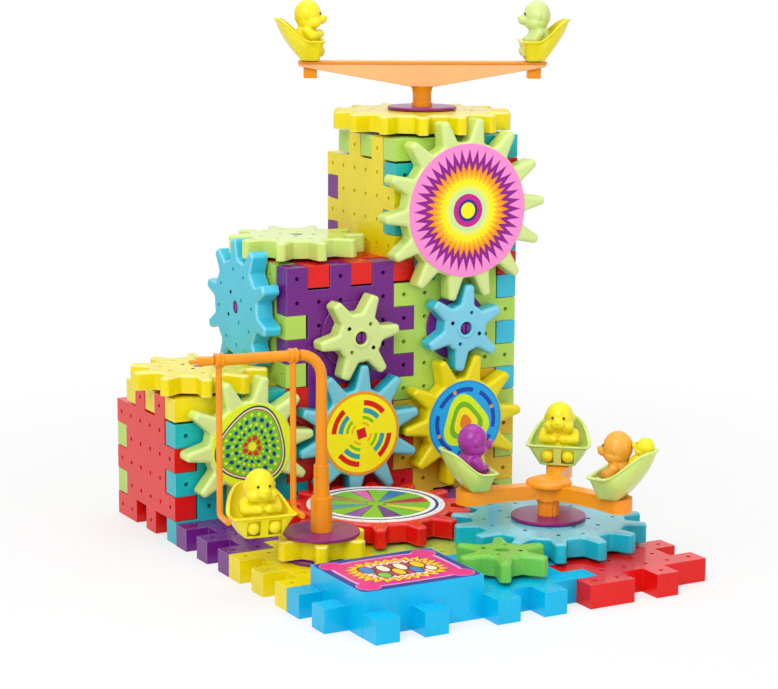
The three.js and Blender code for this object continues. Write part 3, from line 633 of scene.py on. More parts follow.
def bands(value, *stops):
    """Plain colour bands: each starts at its own value."""
    node = add_node(value.id_data, "ShaderNodeValToRGB", {"Fac": value})
    ramp = node.color_ramp
    ramp.interpolation = "CONSTANT"
    for i, (start, shade) in enumerate(stops):
        stop = ramp.elements[i] if i < 2 else ramp.elements.new(start)
        stop.position = start
        stop.color = linear(shade)
    return node.outputs["Color"]


def between(value, low, high):
    return calc("MULTIPLY", calc("GREATER_THAN", value, low), calc("LESS_THAN", value, high))


def distance(x, y):
    return calc("SQRT", calc("ADD", calc("POWER", x, 2.0), calc("POWER", y, 2.0)))


def turn_at(x, y):
    """The share of a full turn at which a point lies round the middle."""
    return calc("MULTIPLY_ADD", calc("ARCTAN2", y, x), 0.5 / pi, 0.5)


def dots(away, turn, count, ring, size):
    """A ring of round dots."""
    along = calc("SUBTRACT", calc("FRACT", calc("MULTIPLY", turn, float(count))), 0.5)
    along = calc("MULTIPLY", along, 2 * pi * ring / count)
    return calc("LESS_THAN", distance(along, calc("SUBTRACT", away, ring)), size)


def waved(away, turn, waves, depth):
    """The distance from the middle, pushed in and out so that a ring becomes a rounded clover."""
    swing = calc("COSINE", calc("MULTIPLY", turn, 2 * pi * waves))
    return calc("MULTIPLY", away, calc("MULTIPLY_ADD", swing, depth, 1.0))


def sunburst(away, turn):
    rays = calc("PINGPONG", calc("MULTIPLY", turn, 80.0), 1.0)
    growth = calc("MAXIMUM", calc("MULTIPLY", calc("SUBTRACT", away, 0.34), 0.36), 0.0)
    return bands(
        calc("SUBTRACT", away, calc("MULTIPLY", rays, growth)),
        (0, "f8f010"), (0.12, "2c2a86"), (0.165, "c8108c"), (0.25, "cdeaa0"), (0.32, "eaf06a"),
        (0.37, "ffee08"), (0.45, "ffc008"), (0.51, "f8940c"), (0.585, "8c0888"), (0.715, "f88ed2"),
    )


def broken_rings(away, turn):
    quarter = calc("FRACT", calc("MULTIPLY_ADD", turn, 4.0, 0.18))
    painted = between(quarter, 0.46, 0.98)
    rings = bands(
        away,
        (0, "fdf010"), (0.23, "f5a818"), (0.27, "fdf010"), (0.35, "7dc410"), (0.42, "fdf010"),
        (0.49, "2aa0b4"), (0.61, "fdf010"), (0.67, "dc1408"), (0.80, "fdf010"),
    )
    field = lay_over("fdf010", rings, painted)
    square = calc("MULTIPLY", calc("PINGPONG", calc("MULTIPLY", turn, 8.0), 1.0), pi / 4)
    middle = calc("LESS_THAN", calc("MULTIPLY", away, calc("COSINE", square)), 0.12)
    field = lay_over(field, "e00a2a", middle)
    return lay_over(field, "f09a10", calc("GREATER_THAN", away, 0.93))


def dotted_clover(away, turn):
    clover = waved(away, calc("ADD", turn, 0.14), 3, 0.09)
    field = bands(
        clover,
        (0, "78c828"), (0.77, "b0581c"), (0.80, "f2e6d0"), (0.83, "145a50"), (0.875, "e4f41c"),
    )
    for count, ring, size, ink in (
        (25, 0.69, 0.036, "e6ee2c"), (20, 0.58, 0.052, "123c8c"), (22, 0.47, 0.032, "e6ee2c"),
        (15, 0.38, 0.045, "123c8c"), (16, 0.29, 0.024, "e6ee2c"), (8, 0.18, 0.062, "d8301c"),
    ):
        field = lay_over(field, ink, dots(clover, turn, count, ring, size))
    return lay_over(field, "f4ee20", calc("LESS_THAN", away, 0.1))


def nested_clovers(away, turn):
    clover = waved(away, calc("ADD", turn, 0.06), 3, 0.13)
    arcs = between(calc("FRACT", calc("MULTIPLY_ADD", turn, 4.0, 0.3)), 0.08, 0.92)
    outer = lay_over("10aaea", "0440b0", calc("MULTIPLY", arcs, between(away, 0.73, 0.84)))
    outer = lay_over(outer, "e8a050", dots(away, calc("ADD", turn, 0.075), 4, 0.785, 0.05))
    inner = bands(
        clover,
        (0, "f08408"), (0.15, "fff008"), (0.31, "76be10"), (0.43, "dcf812"), (0.60, "10aaea"),
    )
    field = lay_over(outer, inner, calc("LESS_THAN", clover, 0.6))
    return lay_over(field, "1490dc", calc("GREATER_THAN", away, 0.95))


def pinwheel(away, turn):
    eighths = calc("MULTIPLY", turn, 8.0)
    across = calc("ABSOLUTE", calc("SUBTRACT", calc("FRACT", eighths), 0.5))
    inks = bands(
        turn,
        (0, "8a30b8"), (0.125, "6a1f9a"), (0.25, "e8e040"), (0.375, "d81840"), (0.5, "2a80c8"),
        (0.625, "e060c8"), (0.75, "b09050"), (0.875, "2aa0b0"),
    )
    blades = calc("MULTIPLY", calc("LESS_THAN", across, 0.19), between(away, 0.16, 0.77))
    lines = calc("MULTIPLY", calc("LESS_THAN", across, 0.23), between(away, 0.12, 0.77))
    field = lay_over("7cc832", "25306a", lines)
    field = lay_over(field, inks, blades)
    rings = bands(away, (0, "ffffff"), (0.86, "25258a"), (0.91, "f6f2f4"))
    field = lay_over(field, rings, calc("GREATER_THAN", away, 0.79))
    return lay_over(field, "e8b8c0", dots(away, turn, 24, 0.955, 0.02))


def sticker_material(name, place, paint):
    """A glossy sticker whose ink follows the place on it, in metres from its middle."""
    material, tree, shader = new_material(name)
    where = add_node(tree, "ShaderNodeTexCoord").outputs["Object"]
    level = add_node(
        tree, "ShaderNodeMapping",
        {"Vector": where, "Location": place.translation, "Rotation": place.to_euler()},
        vector_type="TEXTURE",
    )
    parts = add_node(tree, "ShaderNodeSeparateXYZ", {0: level.outputs[0]}).outputs
    fibre = add_node(tree, "ShaderNodeTexNoise", {"Vector": where, "Scale": 700.0, "Detail": 1.0})
    gloss = add_node(
        tree, "ShaderNodeMapRange", {"Value": fibre.outputs["Fac"], "To Min": 0.26, "To Max": 0.4}
    )
    set_inputs(shader, {
        "Base Color": paint(parts[0], parts[1]), "Roughness": gloss.outputs[0],
        "Specular IOR Level": 0.3, "Coat Weight": 0.1, "Coat Roughness": 0.06,
    })
    return material


for name, radius, paint in (
    ("high_tower_upper", large_label, sunburst),
    ("mid_tower_lower", small_label, broken_rings),
    ("low_tower_front", small_label, dotted_clover),
    ("high_tower_lower", small_label, nested_clovers),
    ("idler", large_label, pinwheel),
):
    place = gear_places[name] @ Matrix.Translation((0, 0, gear_thickness))
    ink = sticker_material(
        name + "_print", place,
        lambda x, y: paint(calc("DIVIDE", distance(x, y), radius), turn_at(x, y)),
    )
    sticker = new_piece(name + "_label", ink)
    profile = [(0, -label_sink), (radius, -label_sink), (radius, pad_relief - label_edge)]
    profile += [(radius - label_edge, pad_relief), (0, pad_relief)]
    fill_mesh(sticker.data, lambda shape: revolve(shape, profile, 72))
    settle(sticker, place)
    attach(sticker, gears[name]["child"])

# The motor block is one blue ABS moulding: a low toothed plate with a raised box for two cells
# and the motor, open below under a pressed-in cover. A worm turns the small drive gear's shaft.
box_height = 0.0192
block_wall = 0.002
block_roof = 0.0015
block_left = block_front = cell
box_right, block_right, block_back = 6 * cell, 10 * cell, 5 * cell
box_foot = 0.0003
cut_overrun = 0.001
switch_travel = 0.004
slot_half_x, slot_half_z, slot_reach = 0.0048, 0.002, 0.01
shaft_hole, shaft_hole_height = 0.0024, 0.015
label_margin = 0.0004
label_corner = 0.003

housing = new_piece("motor_housing_moulding", plastics["blue"])
fill_mesh(housing.data, slab(rim_points(11, 6, "none"), 0, tile_thickness))
inside = (block_front + block_wall, block_back - block_wall, -cut_overrun)
switch_low, switch_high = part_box("power_switch")
switch_middle = (switch_low + switch_high) / 2 - motor_corner
slot_x, slot_z = switch_middle.x + switch_travel / 2, switch_middle.z
shaft = Vector(gears["drive"]["pos_m"]) - motor_corner
shaft_place = Matrix.Translation((shaft.x, shaft.y, 0))
shaft_profile = [(0, 0), (shaft_hole, 0), (shaft_hole, shaft_hole_height), (0, shaft_hole_height)]
box = cuboid(block_left, box_right, block_front, block_back, box_foot, box_height - label_sink)
combine(housing, "UNION", box)
for hollow in (
    cuboid(block_left + block_wall, box_right - block_wall, *inside, box_height - block_roof),
    cuboid(box_right - 2 * block_wall, block_right - block_wall, *inside, tile_thickness - block_roof),
    cuboid(
        slot_x - slot_half_x, slot_x + slot_half_x, block_back - slot_reach, block_back + slot_reach,
        slot_z - slot_half_z, slot_z + slot_half_z,
    ),
    lambda shape: revolve(shape, shaft_profile, 24, shaft_place),
):
    combine(housing, "DIFFERENCE", hollow)
round_edges(housing, edge_round)
# Painted highlight on the housing's rounded edges
mark_highlight_faces(housing, square_on)
settle(housing, Matrix.Translation(motor_corner))
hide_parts("motor_housing")
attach(housing, "structure")

label_half = Vector((box_right - block_left, block_back - block_front)) / 2
label_half -= Vector((label_margin, label_margin))
label_middle = motor_corner + Vector(
    ((block_left + box_right) / 2, (block_front + block_back) / 2, box_height - label_sink)
)


def box_print(x, y):
    """A blue sticker with a rounded magenta cloud and a yellow starburst in its middle."""
    x, y = (calc("DIVIDE", value, reach) for value, reach in zip((x, y), label_half))
    turn = turn_at(x, y)

    def oval(cx, cy, rx, ry, power=2.0):
        terms = []
        for value, middle, reach in ((x, cx, rx), (y, cy, ry)):
            part = calc("DIVIDE", calc("ABSOLUTE", calc("SUBTRACT", value, middle)), reach)
            terms.append(calc("POWER", part, power))
        return calc("POWER", calc("ADD", *terms), 1 / power)

    cloud = oval(0, 0, 0.9, 0.84, 5.0)
    for cx in (-0.78, 0.78):
        for cy in (-0.72, 0.72):
            cloud = calc("MINIMUM", cloud, oval(cx, cy, 0.19, 0.24))
    field = bands(calc("MULTIPLY", cloud, 0.5), (0, "e4108c"), (0.47, "f4a8d6"), (0.495, "1c2a98"))
    rays = calc("PINGPONG", calc("MULTIPLY", turn, 52.0), 1.0)
    star = calc("MULTIPLY", oval(0.0, 0, 0.8, 0.72, 3.0), calc("MULTIPLY_ADD", rays, 0.24, 1.0))
    inks = bands(
        calc("MULTIPLY", star, 0.5),
        (0, "c02a6c"), (0.3, "f6ecd8"), (0.36, "e8601c"), (0.41, "f8d820"), (0.475, "8a2018"),
    )
    field = lay_over(field, inks, calc("LESS_THAN", star, 1.0))
    for cx, cy, rx, ry, ink in (
        (-0.42, 0.2, 0.1, 0.2, "3a7cc8"), (-0.3, -0.22, 0.09, 0.16, "7cc84c"),
        (-0.16, 0.16, 0.08, 0.2, "f6ecd8"), (-0.02, -0.14, 0.08, 0.2, "f8c820"),
        (0.12, 0.14, 0.08, 0.22, "f6ecd8"), (0.26, -0.16, 0.08, 0.2, "3a7cc8"),
        (0.4, 0.12, 0.09, 0.2, "f8c820"), (0.5, -0.2, 0.08, 0.14, "f6ecd8"),
    ):
        field = lay_over(field, "5a1408", calc("LESS_THAN", oval(cx, cy, rx + 0.03, ry + 0.04), 1.0))
        field = lay_over(field, ink, calc("LESS_THAN", oval(cx, cy, rx, ry), 1.0))
    return field


box_ink = sticker_material("box_print", Matrix.Translation(label_middle), box_print)
box_label = new_piece("motor_box_label", box_ink)
label_corners = []
for sx, sy, start in ((1, 1, 0), (-1, 1, 90), (-1, -1, 180), (1, -1, 270)):
    middle = Vector((sx * (label_half.x - label_corner), sy * (label_half.y - label_corner)))
    for i in range(7):
        angle = radians(start + 15 * i)
        label_corners.append(middle + Vector((cos(angle), sin(angle))) * label_corner)
fill_mesh(box_label.data, slab(label_corners, -label_sink, label_edge))
settle(box_label, Matrix.Translation(label_middle))
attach(box_label, "structure")

steel = moulded("drawn_steel", "a2a5a8", 0.3, 0.04)
steel.node_tree.nodes["Principled BSDF"].inputs["Metallic"].default_value = 1
sleeve = moulded("printed_sleeve", "2a2c30", 0.35, 0.1)
for node, material in (
    ("battery_cover", plastics["blue"]), ("battery_pair", sleeve), ("motor", steel),
    ("drive_spindle", steel), ("power_switch", sleeve),
):
    for holder in frame["nodes"][node].material_slots:
        holder.material = material

# Each accessory stands on a thin purple ABS disc whose four pegs go into its gear's holes.
# The disc and its pegs are one moulding, pressed in by hand.
disc_radius = 0.017
disc_gap, disc_thickness, disc_edge = 0.0003, 0.0015, 0.0003
disc_low = gear_thickness + disc_gap
disc_top = disc_low + disc_thickness
purple_disc = moulded("purple_disc_abs", "8a2070", 0.3)
accessory_places = {}
for name, heading in (("seesaw", -26), ("swing", 172), ("carousel", 50)):
    spot = Vector(gears[name]["pos_m"])
    accessory_places[name] = Matrix.Translation(spot) @ Matrix.Rotation(radians(heading), 4, "Z")
    disc = new_piece(name + "_disc", purple_disc)
    profile = [(0, disc_low), (disc_radius - disc_edge, disc_low), (disc_radius, disc_low + disc_edge)]
    profile += [(disc_radius, disc_top - disc_edge), (disc_radius - disc_edge, disc_top), (0, disc_top)]
    fill_mesh(disc.data, lambda shape: revolve(shape, profile, 64))
    settle(disc, accessory_places[name])
    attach(disc, gears[name]["child"])

# The seesaw is an orange ABS beam: a thin top flange over a paler triangular web. A flared stem
# carries it, and a square peg under each end holds a seat.
beam_half = 0.061
beam_width = 0.012
beam_top = disc_top + 0.022
flange = 0.0014
peg_half = 0.0033
peg_inset = 0.006
peg_length = 0.0084
low_edge = beam_top - 0.0123


def skin(shape, rings):
    """A closed skin over rings that have the same number of points."""
    rings = [[shape.verts.new(point) for point in ring] for ring in rings]
    for low, high in zip(rings, rings[1:]):
        for i in range(len(low)):
            j = (i + 1) % len(low)
            shape.faces.new((low[i], low[j], high[j], high[i]))
    shape.faces.new(rings[0][::-1])
    shape.faces.new(rings[-1])


def panel(points, low, high):
    """A flat plate in the X-Z plane between two places along Y."""
    return lambda shape: skin(shape, [[(x, y, z) for x, z in points] for y in (low, high)])


beam = new_piece("seesaw_beam_moulding", plastics["orange"])
half_width = beam_width / 2
under = beam_top - flange
top_plate = [(-beam_half, under), (beam_half, under), (beam_half, beam_top), (-beam_half, beam_top)]
fill_mesh(beam.data, panel(top_plate, -half_width, half_width))
for side in (-1, 1):
    x = side * (beam_half - peg_inset)
    low, high = beam_top - peg_length, under + 0.0003
    combine(beam, "UNION", cuboid(x - peg_half, x + peg_half, -peg_half, peg_half, low, high))
round_edges(beam, 0.0004, 2)
settle(beam, accessory_places["seesaw"])
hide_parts("seesaw_beam")
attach(beam, gears["seesaw"]["child"])
thin_orange = moulded("thin_orange_abs", "f4b478", 0.3)
web = new_piece("seesaw_beam_web", thin_orange)
web_end = beam_half - 0.0004
half_triangle = [(web_end, under + 0.0002), (web_end, under - 0.0012), (0.0055, low_edge)]
triangle = [(-x, z) for x, z in half_triangle] + half_triangle[::-1]
fill_mesh(web.data, panel(triangle, -half_width + 0.0006, half_width - 0.0006))
round_edges(web, 0.0005, 3, 20)
settle(web, accessory_places["seesaw"])
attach(web, gears["seesaw"]["child"])
stem = new_piece("seesaw_stem", plastics["orange"])
stem_profile = [(0, disc_top - 0.0002), (0.0052, disc_top - 0.0002), (0.0052, disc_top + 0.0016)]
stem_profile += [(0.0046, disc_top + 0.002), (0.0046, disc_top + 0.006), (0.0049, disc_top + 0.008)]
stem_profile += [(0.0056, low_edge), (0.0046, low_edge + 0.0012), (0, low_edge + 0.0012)]
fill_mesh(stem.data, lambda shape: revolve(shape, stem_profile))
settle(stem, accessory_places["seesaw"], 35)
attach(stem, gears["seesaw"]["child"])

# The seats are thin ABS shells like half a leaf: a small flat floor, a steep front wall with two
# leg holes and a post between them, and a back that sweeps up to a point, with a flat rim.
lip_reach = 0.0075
back_reach = 0.0178
seat_width = 0.030
seat_floor = (0.010, 0.0175)
lip_height = 0.010
back_height = 0.0205
seat_wall = 0.0011
rim_reach = 0.0006
rim_depth = 0.0008
seat_swell = 0.0084
leg_hole_inner, leg_hole_outer = 0.0018, 0.0078
leg_hole_low, leg_hole_high = 0.0012, 0.0081


def seat_ring(inset, share, steps=80):
    """One level of the shell, from its floor (0) to its rim (1), facing -X."""
    ring = []
    for i in range(steps):
        angle = 2 * pi * (i + 0.5) / steps
        ahead, aside = cos(angle), sin(angle)
        square = (abs(ahead) ** 9 + abs(aside) ** 9) ** (1 / 9)
        if ahead > 0:
            rim_x = ahead * (back_reach - inset)
            rim_y = aside * (seat_width / 2 - inset) * (1 - 0.2 * ahead**2)
        else:
            rim_x, rim_y = ahead / square * (lip_reach - inset), aside / square * (seat_width / 2 - inset)
        floor_x = ahead / square * (seat_floor[0] / 2 - inset)
        floor_y = aside / square * (seat_floor[1] / 2 - inset)
        behind = max(ahead, 0)
        swell = share * (1 - share) * seat_swell
        height = lip_height + (back_height - lip_height) * behind**2 * (3 - 2 * behind)
        x = floor_x + (rim_x - floor_x) * share + swell * behind
        y = floor_y + (rim_y - floor_y) * share + swell * aside * min(1, 3 * behind)
        ring.append(Vector((x, y, height * share)))
    return ring


def seat_shell(shape):
    drop = Vector((0, 0, 1))
    shares = [i / 10 for i in range(11)]
    levels = [seat_ring(rim_reach + 0.0005, 0)]
    levels += [seat_ring(rim_reach, max(s, 0.03)) for s in shares[:-1]]
    for inset, down in (
        (rim_reach, rim_depth + 0.0004), (rim_reach * 0.6, rim_depth), (0.0001, rim_depth - 0.0001),
        (0, rim_depth - 0.0003), (0, 0.0003), (0.0002, 0), (rim_reach + seat_wall - 0.0002, 0),
        (rim_reach + seat_wall, 0.0002),
    ):
        levels.append([v - drop * down for v in seat_ring(inset, 1)])
    for s in reversed(shares[:-1]):
        ring = seat_ring(rim_reach + seat_wall, s)
        levels.append([Vector((v.x, v.y, max(v.z, seat_wall))) for v in ring])
    skin(shape, levels)


seat_yellow = moulded("seat_yellow_abs", "f0e020")


def make_seat(name, material, place, body, node):
    seat = new_piece(name, material)
    fill_mesh(seat.data, seat_shell)
    for across in ((leg_hole_inner, leg_hole_outer), (-leg_hole_outer, -leg_hole_inner)):
        combine(seat, "DIFFERENCE", cuboid(-0.012, -0.0032, *across, leg_hole_low, leg_hole_high))
    settle(seat, place, 40)
    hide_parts(node)
    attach(seat, body)


# The figures are small solid ABS animals that sit in the seats with their feet in the leg holes
# and their hands folded in front or tucked to the chest. All but the smallest have low ears at the
# sides, and all have small dark painted eyes.
eye_paint = moulded("eye_paint", "2c2418", 0.2, 0.1)
figure_plastics = {
    "yellow": seat_yellow, "lime": moulded("figure_lime_abs", "d0e48c"),
    "purple": moulded("figure_purple_abs", "a0309a"), "orange": moulded("figure_orange_abs", "f0a83c"),
}


def make_figure(name, kind, colour, place, body, node=None, scale=1.0):
    figure = new_piece(name, figure_plastics[colour])

    def lump(shape, x, y, z, rx, ry=None, rz=None):
        spot = Matrix.Translation(Vector((x, y, z)) / 1000)
        stretched = Matrix.Diagonal((rx / 1000, (ry or rx) / 1000, (rz or ry or rx) / 1000, 1))
        bmesh.ops.create_icosphere(shape, subdivisions=3, radius=1, matrix=spot @ stretched)

    def limb(shape, start, end, thick, thin):
        for i in range(9):
            t = i / 8
            lump(shape, *(a + (b - a) * t for a, b in zip(start, end)), thick + (thin - thick) * t)

    def build(shape):
        # Head, jaw, snout, nose, chest and belly, in millimetres from the seat's floor
        for form in (
            (1.2, 0, 22.1, 6.7, 6.6, 7.3), (0.7, 0, 18.6, 5.9, 6.7, 4.3), (-4.9, 0, 19.8, 3.3, 3.3, 2.6),
            (-7.6, 0, 20.9, 1.0, 1.3, 0.8), (2.2, 0, 10.0, 6.0, 7.2, 8.2), (0.6, 0, 8.6, 5.6, 6.8, 6.4),
        ):
            lump(shape, *form)
        if kind == "small":
            return
        for side in (-1, 1):
            lump(shape, 1.6, side * 6.3, 21.8, 1.0, 1.1, 1.9)
            if kind == "folded":
                lump(shape, -2.2, side * 3.6, 18.4, 3.2, 3.4, 2.8)
                limb(shape, (1.6, side * 6.6, 14.4), (-0.8, side * 7.1, 11.9), 2.6, 2.5)
                limb(shape, (-0.8, side * 7.1, 11.9), (-4.8, side * 2.1, 12.9), 2.5, 2.1)
            else:
                limb(shape, (1.8, side * 6.2, 13.4), (0, side * 6.4, 10.6), 2.5, 2.3)
                limb(shape, (0, side * 6.4, 10.6), (-3.2, side * 3.6, 10.2), 2.3, 2.0)
            limb(shape, (0.5, side * 4.4, 4.7), (-4.4, side * 4.7, 4.6), 3.0, 2.8)
            lump(shape, -4.9, side * 4.8, 4.65, 2.2, 2.8, 2.9)

    fill_mesh(figure.data, build)
    remesh = figure.modifiers.new("one_skin", "REMESH")
    remesh.mode = "VOXEL"
    remesh.voxel_size = 0.00042
    soften = figure.modifiers.new("softened", "SMOOTH")
    soften.iterations = 3
    soften.factor = 0.5
    sized = place @ Matrix.Scale(scale, 4)
    settle(figure, sized, 80)
    if node:
        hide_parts(node)
    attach(figure, body)
    eyes = new_piece(name + "_eyes", eye_paint)

    def eye_pair(shape):
        for side in (-1, 1):
            lump(shape, -4.9, side * 2.6, 22.7, 0.5, 0.6, 0.68)

    fill_mesh(eyes.data, eye_pair)
    settle(eyes, sized, 80)
    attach(eyes, body)


seat_gap = 0.0003
for side, name, turn, kind, colour in (
    (-1, "left", 180, "folded", "yellow"), (1, "right", 0, "tucked", "lime")
):
    place = accessory_places["seesaw"] @ Matrix.Translation((side * 0.055, 0, beam_top + seat_gap))
    place = place @ Matrix.Rotation(radians(turn), 4, "Z")
    body = gears["seesaw"]["child"]
    make_seat(f"seesaw_{name}_seat_shell", seat_yellow, place, body, f"seesaw_{name}_seat")
    make_figure(f"seesaw_{name}_rider", kind, colour, place, body, f"seesaw_{name}_figure")

# The swing hangs from a stepped orange pole that bends over into a level bar. Its hanger turns
# freely on the bar between two grooved rings, and its feet reach forward under the seat.
pole_height = disc_top + 0.079
bend = 0.010
ring_near, ring_half = 0.013, 0.01665
ring_far = ring_near + 2 * ring_half
bar_end = ring_far + 0.0023
bar_radius = 0.0015
swing_place = accessory_places["swing"]
pole = new_piece("swing_pole_moulding", plastics["orange"])


def tube(shape, path, radii, sides=24):
    """A closed round bar along the path, with its own radius at each point."""
    path = [Vector(p) for p in path]
    across = (path[1] - path[0]).normalized().orthogonal().normalized()
    rings = []
    for i, spot in enumerate(path):
        ahead = (path[min(i + 1, len(path) - 1)] - path[max(i - 1, 0)]).normalized()
        across = (across - ahead * across.dot(ahead)).normalized()
        other = ahead.cross(across)
        angles = (2 * pi * k / sides for k in range(sides))
        rings.append([spot + (across * cos(a) + other * sin(a)) * radii[i] for a in angles])
    skin(shape, rings)


def pole_form(shape):
    steps = ((0, -0.0002), (0.0049, -0.0002), (0.0049, 0.0005), (0.0048, 0.0149), (0.0044, 0.0155))
    steps += ((0.0035, 0.0156), (0.0034, 0.0294), (0.0031, 0.030), (0, 0.030))
    revolve(shape, [(radius, disc_top + height) for radius, height in steps])
    path = [(0, 0, disc_top + 0.029), (0, 0, disc_top + 0.045), (0, 0, pole_height - bend)]
    for i in range(1, 10):
        angle = radians(10 * i)
        path.append((bend - bend * cos(angle), 0, pole_height - bend + bend * sin(angle)))
    tube(shape, path, [0.0026, 0.0025] + [0.0024] * 10)
    tube(shape, [(bend - 0.0002, 0, pole_height), (bar_end + 0.001, 0, pole_height)], [bar_radius] * 2)
    stopper = ((0, 0.0017), (0.0003, 0.002), (0.0066, 0.002), (0.0074, 0.0016), (0.0076, 0.0010))
    stopper += ((0.0104, 0.0009), (0.0109, 0.0005))
    tube(shape, [(bar_end + x, 0, pole_height) for x, radius in stopper], [radius for x, radius in stopper])


fill_mesh(pole.data, pole_form)
settle(pole, swing_place, 35)
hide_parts("swing_pole")
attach(pole, gears["swing"]["child"])

hanger = new_piece("swing_hanger_moulding", plastics["orange"])
rod_radius = 0.00135
rod_reach = 0.013
elbow = 0.0022
foot_height = disc_top + 0.0095 + rod_radius
sleeve_radius, sleeve_bore = 0.0024, 0.0018
along_bar = Matrix.Translation((0, 0, pole_height)) @ Matrix.Rotation(radians(90), 4, "Y")


def hanger_form(shape):
    """The sleeve with its two grooved rings, round a bore for the bar, and the two rods."""
    half_ring = ((0.0020, 0.0027), (0.0017, 0.0032), (0.0006, 0.0032), (0.0003, 0.0027))
    ring = [(-x, radius) for x, radius in half_ring] + list(half_ring[::-1])
    ring_end = half_ring[0][0]
    profile = [(sleeve_bore, ring_near - ring_end)]
    for reach in (ring_near, ring_far):
        if reach == ring_far:
            profile.append((sleeve_radius, ring_far - ring_end))
        profile += [(radius, reach + x) for x, radius in ring] + [(sleeve_radius, reach + ring_end)]
    profile.append((sleeve_bore, ring_far + ring_end))
    revolve(shape, profile + [profile[0]], 28, along_bar)
    for reach in (ring_near, ring_far):
        path = [(reach, 0, pole_height - 0.0022), (reach, 0, foot_height + elbow)]
        for i in range(1, 6):
            angle = radians(18 * i)
            path.append((reach, elbow - elbow * cos(angle), foot_height + elbow - elbow * sin(angle)))
        path += [(reach, rod_reach - 0.0005, foot_height), (reach, rod_reach, foot_height)]
        tube(shape, path, [rod_radius] * (len(path) - 1) + [0.0011], 16)


fill_mesh(hanger.data, hanger_form)
settle(hanger, swing_place, 35)
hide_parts("swing_hanger")
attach(hanger, "swing_hanging")
swing_seat_spot = Matrix.Translation((ring_near + ring_half, rod_reach - lip_reach, disc_top + 0.002))
swing_seat_place = swing_place @ swing_seat_spot @ Matrix.Rotation(radians(-90), 4, "Z")
make_seat("swing_seat_shell", seat_yellow, swing_seat_place, "swing_hanging", "swing_seat")
make_figure("swing_rider", "folded", "yellow", swing_seat_place, "swing_hanging")

# The carousel is a single orange moulding: a fluted post, three thick arms with round ends and a
# flat domed cap. A leaf seat stands on each arm's end.
arm_top = disc_top + 0.0145
arm_depth = 0.0064
arm_reach = 0.038
arm_end_radius = 0.0064
post_radius = 0.0049
flute_depth = 0.0005
cap_radius = 0.0104
cap_foot = 0.0004
dome_height = 0.0026
carousel_place = accessory_places["carousel"]
arms = new_piece("carousel_arms_moulding", plastics["bright_orange"])


def arm_outline(heading):
    """An arm seen from above: straight sides that open smoothly into a round end."""
    side = [(0, 0.0036), (0.020, 0.0033), (0.028, 0.0038), (0.0325, 0.0052)]
    for i in range(6):
        angle = radians(75 - 15 * i)
        side.append((arm_reach + arm_end_radius * cos(angle), arm_end_radius * sin(angle)))
    turned = Matrix.Rotation(heading, 2)
    return [turned @ Vector(p) for p in [(x, -y) for x, y in side[:-1]] + side[::-1]]


fluted = []
for i in range(80):
    angle = 2 * pi * i / 80
    radius = post_radius - flute_depth * max(0.0, cos(10 * angle)) ** 0.5
    fluted.append((radius * cos(angle), radius * sin(angle)))
fill_mesh(arms.data, slab(fluted, disc_top - 0.0002, arm_top - 0.0005))
for k in range(3):
    combine(arms, "UNION", slab(arm_outline(radians(120 * k)), arm_top - arm_depth, arm_top))
sleeve_top = arm_top - 0.001
sleeve_profile = [(0, disc_top + 0.006), (0.0062, disc_top + 0.007), (0.0066, sleeve_top), (0, sleeve_top)]
combine(arms, "UNION", lambda shape: revolve(shape, sleeve_profile, 40))
round_edges(arms, 0.0006, 3)
settle(arms, carousel_place, 35)
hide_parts("carousel_arms")
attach(arms, gears["carousel"]["child"])
cap = new_piece("carousel_cap", plastics["bright_orange"])
cap_rim = arm_top + cap_foot
cap_profile = [(0, sleeve_top), (0.0098, sleeve_top), (0.0103, arm_top - 0.0006), (cap_radius, cap_rim)]
for i in range(1, 11):
    angle = radians(9 * i)
    cap_profile.append((cap_radius * cos(angle) if i < 10 else 0, cap_rim + dome_height * sin(angle)))
fill_mesh(cap.data, lambda shape: revolve(shape, cap_profile))
settle(cap, carousel_place, 35)
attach(cap, gears["carousel"]["child"])
carousel_body = gears["carousel"]["child"]
for k, (name, kind, colour, facing_turn, seat_scale) in enumerate((
    ("back", "folded", "yellow", 0, 1.0), ("left", "tucked", "purple", 0, 0.94),
    ("front", "tucked", "orange", 15, 1.1),
)):
    place = carousel_place @ Matrix.Rotation(radians(120 * k), 4, "Z")
    place = place @ Matrix.Translation((arm_reach - 0.002, 0, arm_top + seat_gap))
    place = place @ Matrix.Rotation(radians(facing_turn), 4, "Z")
    sized = place @ Matrix.Scale(seat_scale, 4)
    seat_node = f"carousel_{name}_seat"
    make_seat(seat_node + "_shell", plastics["pale_lime"], sized, carousel_body, seat_node)
    make_figure(f"carousel_{name}_rider", kind, colour, place, carousel_body)
small_place = place @ Matrix.Translation((0.0072, 0, 0.0112)) @ Matrix.Rotation(radians(25), 4, "Y")
make_figure("carousel_small_rider", "small", "yellow", small_place, carousel_body, scale=0.62)

# A pale floor and a soft studio: white to the camera and to reflections, with lamps above and to
# the left. The camera stands where the photograph's did.
floor_half = 4
floor = new_piece("floor")
floor_corners = [(x * floor_half, y * floor_half, 0) for x, y in ((-1, -1), (1, -1), (1, 1), (-1, 1))]
floor.data.from_pydata(floor_corners, [], [(0, 1, 2, 3)])


def seen_directly(tree):
    """1 for rays from the camera, from a reflection or through something clear."""
    rays = add_node(tree, "ShaderNodeLightPath").outputs
    seen = calc("MAXIMUM", rays["Is Camera Ray"], rays["Is Glossy Ray"])
    return calc("MAXIMUM", seen, rays["Is Transmission Ray"])


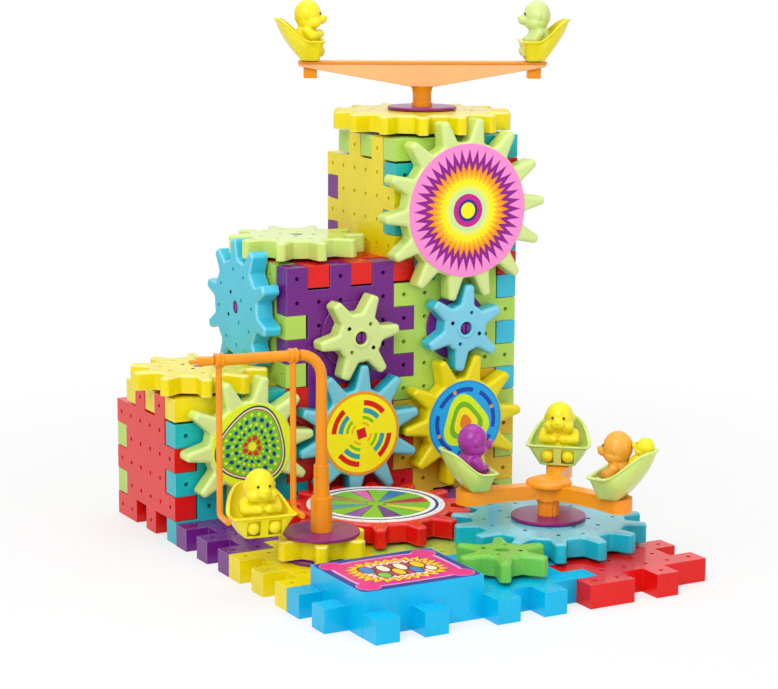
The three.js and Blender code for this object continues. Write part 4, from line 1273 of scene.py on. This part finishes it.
paper, paper_tree, paper_shader = new_material("paper")
set_inputs(paper_shader, {"Base Color": (0.82, 0.82, 0.83, 1), "Roughness": 0.9, "Specular IOR Level": 0.1})
glow = add_node(paper_tree, "ShaderNodeEmission", {"Color": (1, 1, 1, 1), "Strength": 1.0})
floor_spot = add_node(paper_tree, "ShaderNodeTexCoord").outputs["Object"]
outward = add_node(paper_tree, "ShaderNodeVectorMath", {0: floor_spot}, operation="LENGTH").outputs["Value"]
fade = add_node(
    paper_tree, "ShaderNodeMapRange",
    {"Value": outward, "From Min": 0.14, "From Max": 0.42, "To Min": 0.62, "To Max": 1.0},
).outputs["Result"]
glowing = calc("MULTIPLY", seen_directly(paper_tree), fade)
looks = {0: glowing, 1: paper_shader.outputs[0], 2: glow.outputs[0]}
mixed = add_node(paper_tree, "ShaderNodeMixShader", looks)
set_inputs(paper_tree.nodes["Material Output"], {"Surface": mixed.outputs[0]})
floor.data.materials.append(paper)

world = bpy.context.scene.world or bpy.data.worlds.new("studio")
bpy.context.scene.world = world
world.use_nodes = True
world_tree = world.node_tree
seen = seen_directly(world_tree)
level = add_node(world_tree, "ShaderNodeMapRange", {"Value": seen, "To Min": 0.45, "To Max": 1.0})
background = {"Color": (1, 1, 1, 1), "Strength": level.outputs["Result"]}
set_inputs(world_tree.nodes["Background"], background)

centre = Vector((0, 0, 0.11))
for name, spot, size, power in (
    ("key_light", (-0.9, -0.75, 1.0), 0.9, 13),
    ("front_light", (0.7, -1.4, 0.7), 1.0, 5),
    ("top_light", (0.1, 0.2, 1.5), 1.2, 9),
):
    lamp = bpy.data.lights.new(name, "AREA")
    lamp.size = size
    lamp.energy = power
    holder = bpy.data.objects.new(name, lamp)
    holder.location = spot
    holder.rotation_euler = (centre - Vector(spot)).to_track_quat("-Z", "Y").to_euler()
    bpy.context.scene.collection.objects.link(holder)

azimuth, elevation, roll = (radians(v) for v in (-29.05, 10.65, 0.34))
target = Vector((8, -3, 8))
shift_right, shift_up, distance_back = 0.11, 0.09, 91.06
flat = cos(elevation)
back = Vector((sin(azimuth) * flat, -cos(azimuth) * flat, sin(elevation)))
right = Vector((0, 0, 1)).cross(back).normalized()
up = back.cross(right)
right, up = right * cos(roll) + up * sin(roll), up * cos(roll) - right * sin(roll)
eye = grid_corner + (target + right * shift_right + up * shift_up + back * distance_back) * cell
lens = bpy.data.cameras.new("camera")
lens.sensor_width = 36
lens.lens = 104.7
camera = bpy.data.objects.new("camera", lens)
camera.matrix_world = Matrix((right, up, back)).transposed().to_4x4()
camera.location = eye
bpy.context.scene.collection.objects.link(camera)
bpy.context.scene.camera = camera
bpy.context.scene.view_settings.view_transform = "Standard"
